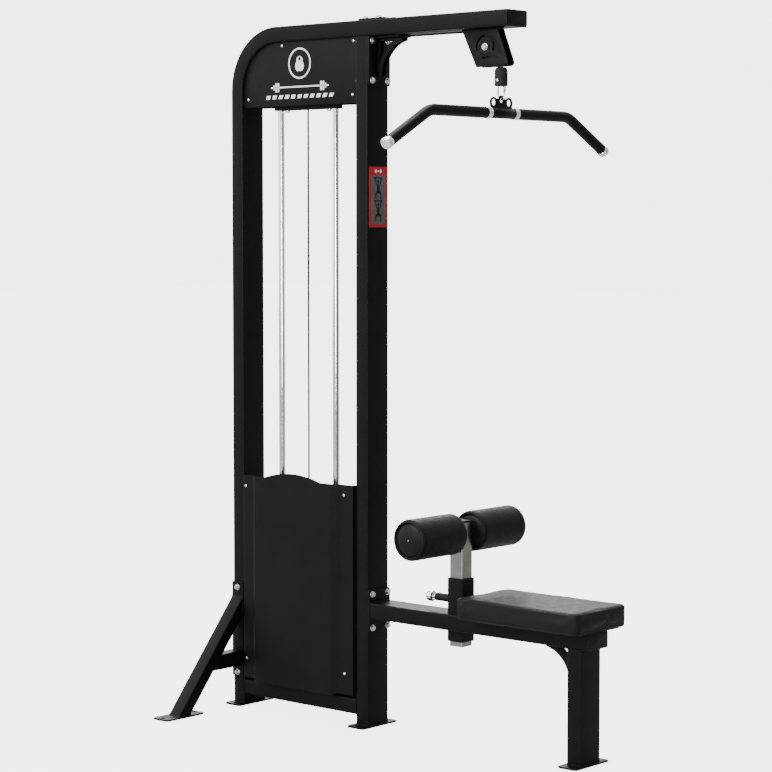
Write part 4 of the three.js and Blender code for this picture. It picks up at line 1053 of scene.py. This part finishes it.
# ---- thigh hold
SLEEVE_WALL = 4 * MM
CAP_T = 6 * MM
FIRST_HOLE, HOLE_PITCH = 386, 30
sleeve = box("post_sleeve")
post_x = sleeve.x
sleeve_h = (sleeve.x1 - sleeve.x0) / 2
sleeve_out = rounded(rect(sleeve.x0, -sleeve_h, sleeve.x1, sleeve_h), 4 * MM)
sleeve_in = rounded(rect(sleeve.x0 + SLEEVE_WALL, -sleeve_h + SLEEVE_WALL, sleeve.x1 - SLEEVE_WALL,
                         sleeve_h - SLEEVE_WALL), 1.5 * MM, 3)[::-1]
sleeve_part = plate(sleeve_out, sleeve.z0, sleeve.z1, "xy", 0.7 * MM, [sleeve_in])
piece("post_guide_sleeve", sleeve_part, "post_sleeve")
sleeve_welds = [bead_round([Vector((a, b, z)) for a, b in sleeve_out])
                for z in (seat_top + 0.5 * MM, seat_under - 0.5 * MM)]
piece("sleeve_weld_beads", merged(*sleeve_welds), sharp=80)
post_out = rounded(rect(post.x0, post.y0, post.x1, post.y1), 4 * MM, 5)
post_body = swept(post_out, [((0, 0, z), X, Y) for z in (post.z0, post.z1 - CAP_T)])
piece("chrome_thigh_post", post_body, "thigh_post", STEEL, "thigh_hold")
piece("post_top_cap", plate(post_out, post.z1 - CAP_T, post.z1, "xy", 1.6 * MM), material=PLASTIC, body="thigh_hold")
# thin dark discs on the post stand in for the rack holes: painted shade of their hollow insides
rack_hole_shade = [turned([(0, 0.15), (6, 0.15), (6.4, 0)], (post.x0, 0, (FIRST_HOLE + HOLE_PITCH * i) * MM), LEFT, 24)
              for i in range(5)]
piece("post_rack_hole_shade", merged(*rack_hole_shade), material=INK, body="thigh_hold")
axle = box("roller_axle")
roll_z = axle.z
end = axle.y1 / MM
shaft = [(0, -end - 3), (2.2, -end - 3), (3, -end), (12, -end), (12, end), (3, end), (2.2, end + 3), (0, end + 3)]
shaft = turned(shaft, (post_x, 0, roll_z), Y, 32)
flange = turned([(0, 0), (20, 0), (20, 2.2), (19, 3), (0, 3)], (post_x, post.y1, roll_z), Y, 36)
piece("roller_shaft", merged(shaft, flange, mirrored(flange)), "roller_axle", ZINC, "thigh_hold")

roll_edge = [(52.6, 6.5), (53.6, 1.6), (55.4, 0.5), (57.4, 0.9), (60.3, 3.4), (62.6, 7.4), (63.5, 12)]
inner_disc = [(13, 8), (51, 8), (51, 6), (47, 3.6), (38, 1.6), (26, 0.2), (13, -0.2), (13, 8)]
for label, side in (("near", -1), ("far", 1)):
    b = box(f"roller_{label}")
    origin = (post_x, b.y0 if side > 0 else b.y1, roll_z)
    long = (b.y1 - b.y0) / MM
    roll = [(14, 9), (50, 9)] + roll_edge + [(63.5, 20), (63.5, long - 20)]
    roll += [(r, long - t) for r, t in roll_edge[::-1]] + [(50, long - 9), (14, long - 9), (14, 9)]
    roll_part = turned(roll, origin, (0, side, 0), 96)
    roller = piece(f"thigh_roller_{label}", roll_part, f"roller_{label}", FOAM, f"thigh_roll_{label}", sharp=50)
    dome = [(r, long + t) for r, t in ((5.6, -8), (5.6, 3), (6.6, 4), (14, 3.7), (24, 2.7), (34, 0.8), (42, -1.6),
                                       (48, -4.2), (51, -6.4), (51, -8), (5.6, -8))]
    discs = merged(turned(dome, origin, (0, side, 0), 72), turned(inner_disc, origin, (0, side, 0), 64))
    piece(f"roller_end_discs_{label}", discs, material=PLASTIC, body=f"thigh_roll_{label}", sharp=30)

# ---- lock pin
pin_box = box("pop_pin_barrel")
pin_at = (pin_box.x1, 0, pin_box.z)
length = (pin_box.x1 - pin_box.x0) / MM
barrel = [(8.8, 0), (12.5, 0), (12.5, length - 14), (11.6, length - 13), (11.6, length - 11), (12.5, length - 10),
          (12.5, length - 2), (10.5, length), (8.8, length), (8.8, 0)]
piece("lock_pin_barrel", turned(barrel, pin_at, LEFT), "pop_pin_barrel", PLASTIC, sharp=30)
grip = length + 12
knob = [(0, -3.5), (4.6, -3), (5, -2), (5, grip - 32), (6.5, grip - 31), (6.5, grip), (12, grip), (15.5, grip + 1.5),
        (17, grip + 4.5), (17, grip + 13), (15.8, grip + 18), (12, grip + 22), (6, grip + 23.6), (0, grip + 24)]
piece("lock_pin_knob", turned(knob, pin_at, LEFT, 48), "pop_pin_plunger", CHROME, "pull_knob", sharp=40)

# ---- placard
placard = box("placard")


def card(outline, low, high, bevel=0.1):
    """a layer of the placard between two distances from its back, in millimetres"""
    return plate(outline, placard.x0 + low * MM, placard.x0 + high * MM, "yz", bevel * MM)


card_outline = rounded(rect(placard.y0, placard.z0, placard.y1, placard.z1), 5 * MM, 5)
piece("placard_plate", card(card_outline, 0, 1.5, 0.4), "placard", RED)
field = rounded(rect(placard.y0 + 9 * MM, placard.z0 + 11 * MM, placard.y1 - 9 * MM, placard.z1 - 27 * MM), 3 * MM)
piece("placard_field", card(field, 1.4, 1.75), material=GREY)


def figure(cz):
    """a seated figure pulling a bar, in plain shapes"""
    out = [card([(a, cz + 22 * MM + b) for a, b in circle(5 * MM, 24)], 1.7, 1.95, 0.05)]
    limbs = [((-20, 34), (20, 34), 2), ((-14, 34), (-9, 12), 2.4), ((14, 34), (9, 12), 2.4), ((0, 14), (0, -10), 6.5),
             ((0, -10), (-12, -14), 3.6), ((0, -10), (12, -14), 3.6), ((-12, -14), (-12, -32), 2.8),
             ((12, -14), (12, -32), 2.8)]
    for (a0, b0), (a1, b1), width in limbs:
        along = Vector((a1 - a0, b1 - b0)).normalized()
        s = Vector((-along.y, along.x)) * width
        quad = [(a0 + s.x, b0 + s.y), (a0 - s.x, b0 - s.y), (a1 - s.x, b1 - s.y), (a1 + s.x, b1 + s.y)]
        out.append(card([(a * MM, cz + b * MM) for a, b in quad], 1.7, 1.95, 0.05))
    return merged(*out)


piece("placard_figures", merged(figure(placard.z0 + 122 * MM), figure(placard.z0 + 50 * MM)), material=INK)
head_mark = weights_mark((placard.y0 + placard.y1) / 2, placard.z1 - 14 * MM, 17 * MM, 1.1 * MM,
                         ((3, 1.3, 4), (7, 1.6, 6.5)), lambda outline: card(outline, 1.4, 1.7, 0.05))
piece("placard_mark", head_mark, material=WHITE)

# ---- weight stack
PLATE_PITCH = 32 * MM
HEAD_T = 28 * MM
plate_holes = [hole(stack_x + s * ROD_OFFSET, 0, 12 * MM) for s in (-1, 1)]


def plate_outline(b):
    return rounded(rect(b.x0, b.y0, b.x1, b.y1), 6 * MM, 5)


for number in range(1, 5):
    slab(f"lifted_weight_{number}", f"weight_plate_{number}", "xy", 6, 1.6, IRON, "lifted_stack", plate_holes, 5)
resting = box("resting_plates")
rest_parts = []
for base in (resting.z0 + number * PLATE_PITCH for number in range(10)):
    rest_parts.append(plate(plate_outline(resting), base, base + PLATE_PITCH - 0.3 * MM, "xy", 1.6 * MM, plate_holes))
piece("resting_weights", merged(*rest_parts), "resting_plates", IRON)
head_box = box("head_plate")
head_top = head_box.z0 + HEAD_T
head = plate(plate_outline(head_box), head_box.z0, head_top, "xy", 1.6 * MM, plate_holes)
boss = turned([(0, 0), (15, 0), (15, 35), (12, 38), (0, 38)], (stack_x, 0, head_top), Z, 32)
bush = [(12, -1), (21, -1), (21, 28), (19, 30), (12, 30), (12, -1)]
bushes = [turned(bush, (stack_x + s * ROD_OFFSET, 0, head_top), Z, 36) for s in (-1, 1)]
piece("stack_head", merged(head, boss, *bushes), "head_plate", IRON, "lifted_stack")
slab("stack_base_bumper", "stack_bumper", "xy", 12, 4, RUBBER, steps=6)
pin_box = box("selector_pin")
pin_profile = [(0, -13), (4, -12.4), (5, -11), (5, 57.5), (11, 57.5), (13.4, 58.6), (14, 61), (14, 74), (12.6, 77.6),
               (9, 79.5), (0, 79.5)]
pin_part = turned(pin_profile, (pin_box.x, 0, pin_box.z), Y, 36)
piece("selector_pin_red", pin_part, "selector_pin", RED_KNOB, "stack_pin", sharp=40)
frame["nodes"]["selector_stem"].data.materials.clear()
frame["nodes"]["selector_stem"].data.materials.append(ZINC)

# ---- bolts and screws
BOLT_Y = 36 * MM
bolts = []
for y in (-BOLT_Y, BOLT_Y):
    for x, heights in ((bracket.x0, (2186 * MM, 2061 * MM)), (seat_beam.x0, (431 * MM, 323 * MM))):
        for z in heights:
            bolts += [bolt((x + MOUNT_T, y, z), X), bolt((fore.x0, y, z), LEFT, 7, 5)]
    bolts += [bolt((clamp.x0 + x * MM, y * 0.97, clamp.z1), Z, 7.5, 5) for x in (25, 80)]
for s in (-1, 1):
    bolts += [bolt((leg_x, s * plate_y1, z), (0, s, 0)) for z in (396 * MM, 109 * MM)]
    if s < 0:
        bolts += [bolt((stack_x + x * MM, 0, holder.z0), DOWN, 7, 5) for x in (-93, 93)]
piece("frame_bolts", merged(*bolts), material=ZINC, sharp=25)
screws = []
for x, z in ((70.5, 741), (71, 162.5), (512, 743), (514, 165)):
    screws.append(dome_screw((main.x0 + x * MM, -FLANGE_Y, z * MM), NEAR))
    drop = FAR_DROP if z > 500 else 0
    screws.append(dome_screw((2 * centre_x - main.x0 - x * MM, FLANGE_Y, z * MM - drop), Y))
for x, z in ((70, 2018), (224, 2187), (537, 2188), (533, 2019)):
    screws.append(dome_screw((main.x0 + x * MM, panel_y, z * MM), NEAR))
    screws.append(dome_screw((main.x0 + x * MM, -panel_y, z * MM), Y))
piece("cover_screws", merged(*screws), material=ZINC, sharp=25)

# ------------------------------------------------------------------ studio
BACKDROP = 4.4    # how bright the white surround looks
AMBIENT = 1.15    # how strongly it lights the machine
FLOOR_HALF = 40


def toward(tree, direction, at_back, at_front):
    """a strength that changes across the sky from one side to the other"""
    across = {0: add_node(tree, "TexCoord", output="Generated"), 1: Vector(direction).normalized()}
    dot = add_node(tree, "VectorMath", across, "Value", operation="DOT_PRODUCT")
    return spread(tree, dot, at_back, at_front, -1, 1)


def area_light(name, at, aim, size, power):
    data = bpy.data.lights.new(name, "AREA")
    data.size = size
    data.energy = power
    light = add_object(name, data)
    light.location = at
    light.rotation_euler = aimed(at, aim)


# the floor glows for the camera only, so that it meets the white surround
floor_mat, floor_tree, floor_node = shader("floor", (0.3, 0.3, 0.3), 0.7)
floor_color = mix(floor_tree, (0.29, 0.29, 0.29), (0.31, 0.31, 0.31), noise_node(floor_tree, 3))
floor_tree.links.new(floor_color, floor_node.inputs["Base Color"])
glow = spread(floor_tree, add_node(floor_tree, "LightPath", output="Is Camera Ray"), 0, BACKDROP - 0.5, 0, 1)
floor_node.inputs["Emission Color"].default_value = (1, 1, 1, 1)
floor_tree.links.new(glow, floor_node.inputs["Emission Strength"])
corners = [(x, y, 0) for x, y in rect(-FLOOR_HALF, -FLOOR_HALF, FLOOR_HALF, FLOOR_HALF)]
floor = add_object("floor", new_mesh("floor", (corners, [[0, 1, 2, 3]])))
floor.data.materials.append(floor_mat)

# the sky has one strength where it is looked at, and another where it lights the machine
world = bpy.data.worlds.new("studio")
world.use_nodes = True
sky = world.node_tree
background = sky.nodes["Background"]
background.inputs["Color"].default_value = (1, 1, 1, 1)
softbox = calculate(sky, "MULTIPLY", toward(sky, (1, 1, 0), AMBIENT * 1.7, AMBIENT * 0.35),
                    toward(sky, (-0.66, 0.75, 0.3), 0.7, 1.8))
looked_at = add_node(sky, "LightPath", output="Is Camera Ray")
strength = add_node(sky, "Mix", {"A": softbox, "B": BACKDROP, "Factor": looked_at}, "Result")
sky.links.new(strength, background.inputs["Strength"])
bpy.context.scene.world = world

area_light("key", (-1.2, -6.2, 4.2), (0, 0, 0.5), 3.0, 460)
area_light("top", (-0.8, 0.6, 6.5), (0, 0, 0.8), 4.0, 440)
area_light("rim", (-4.0, 4.0, 4.0), (0, 0, 1.2), 2.5, 160)
area_light("front", (3.0, -4.5, 1.4), (0, 0, 0.7), 1.2, 130)
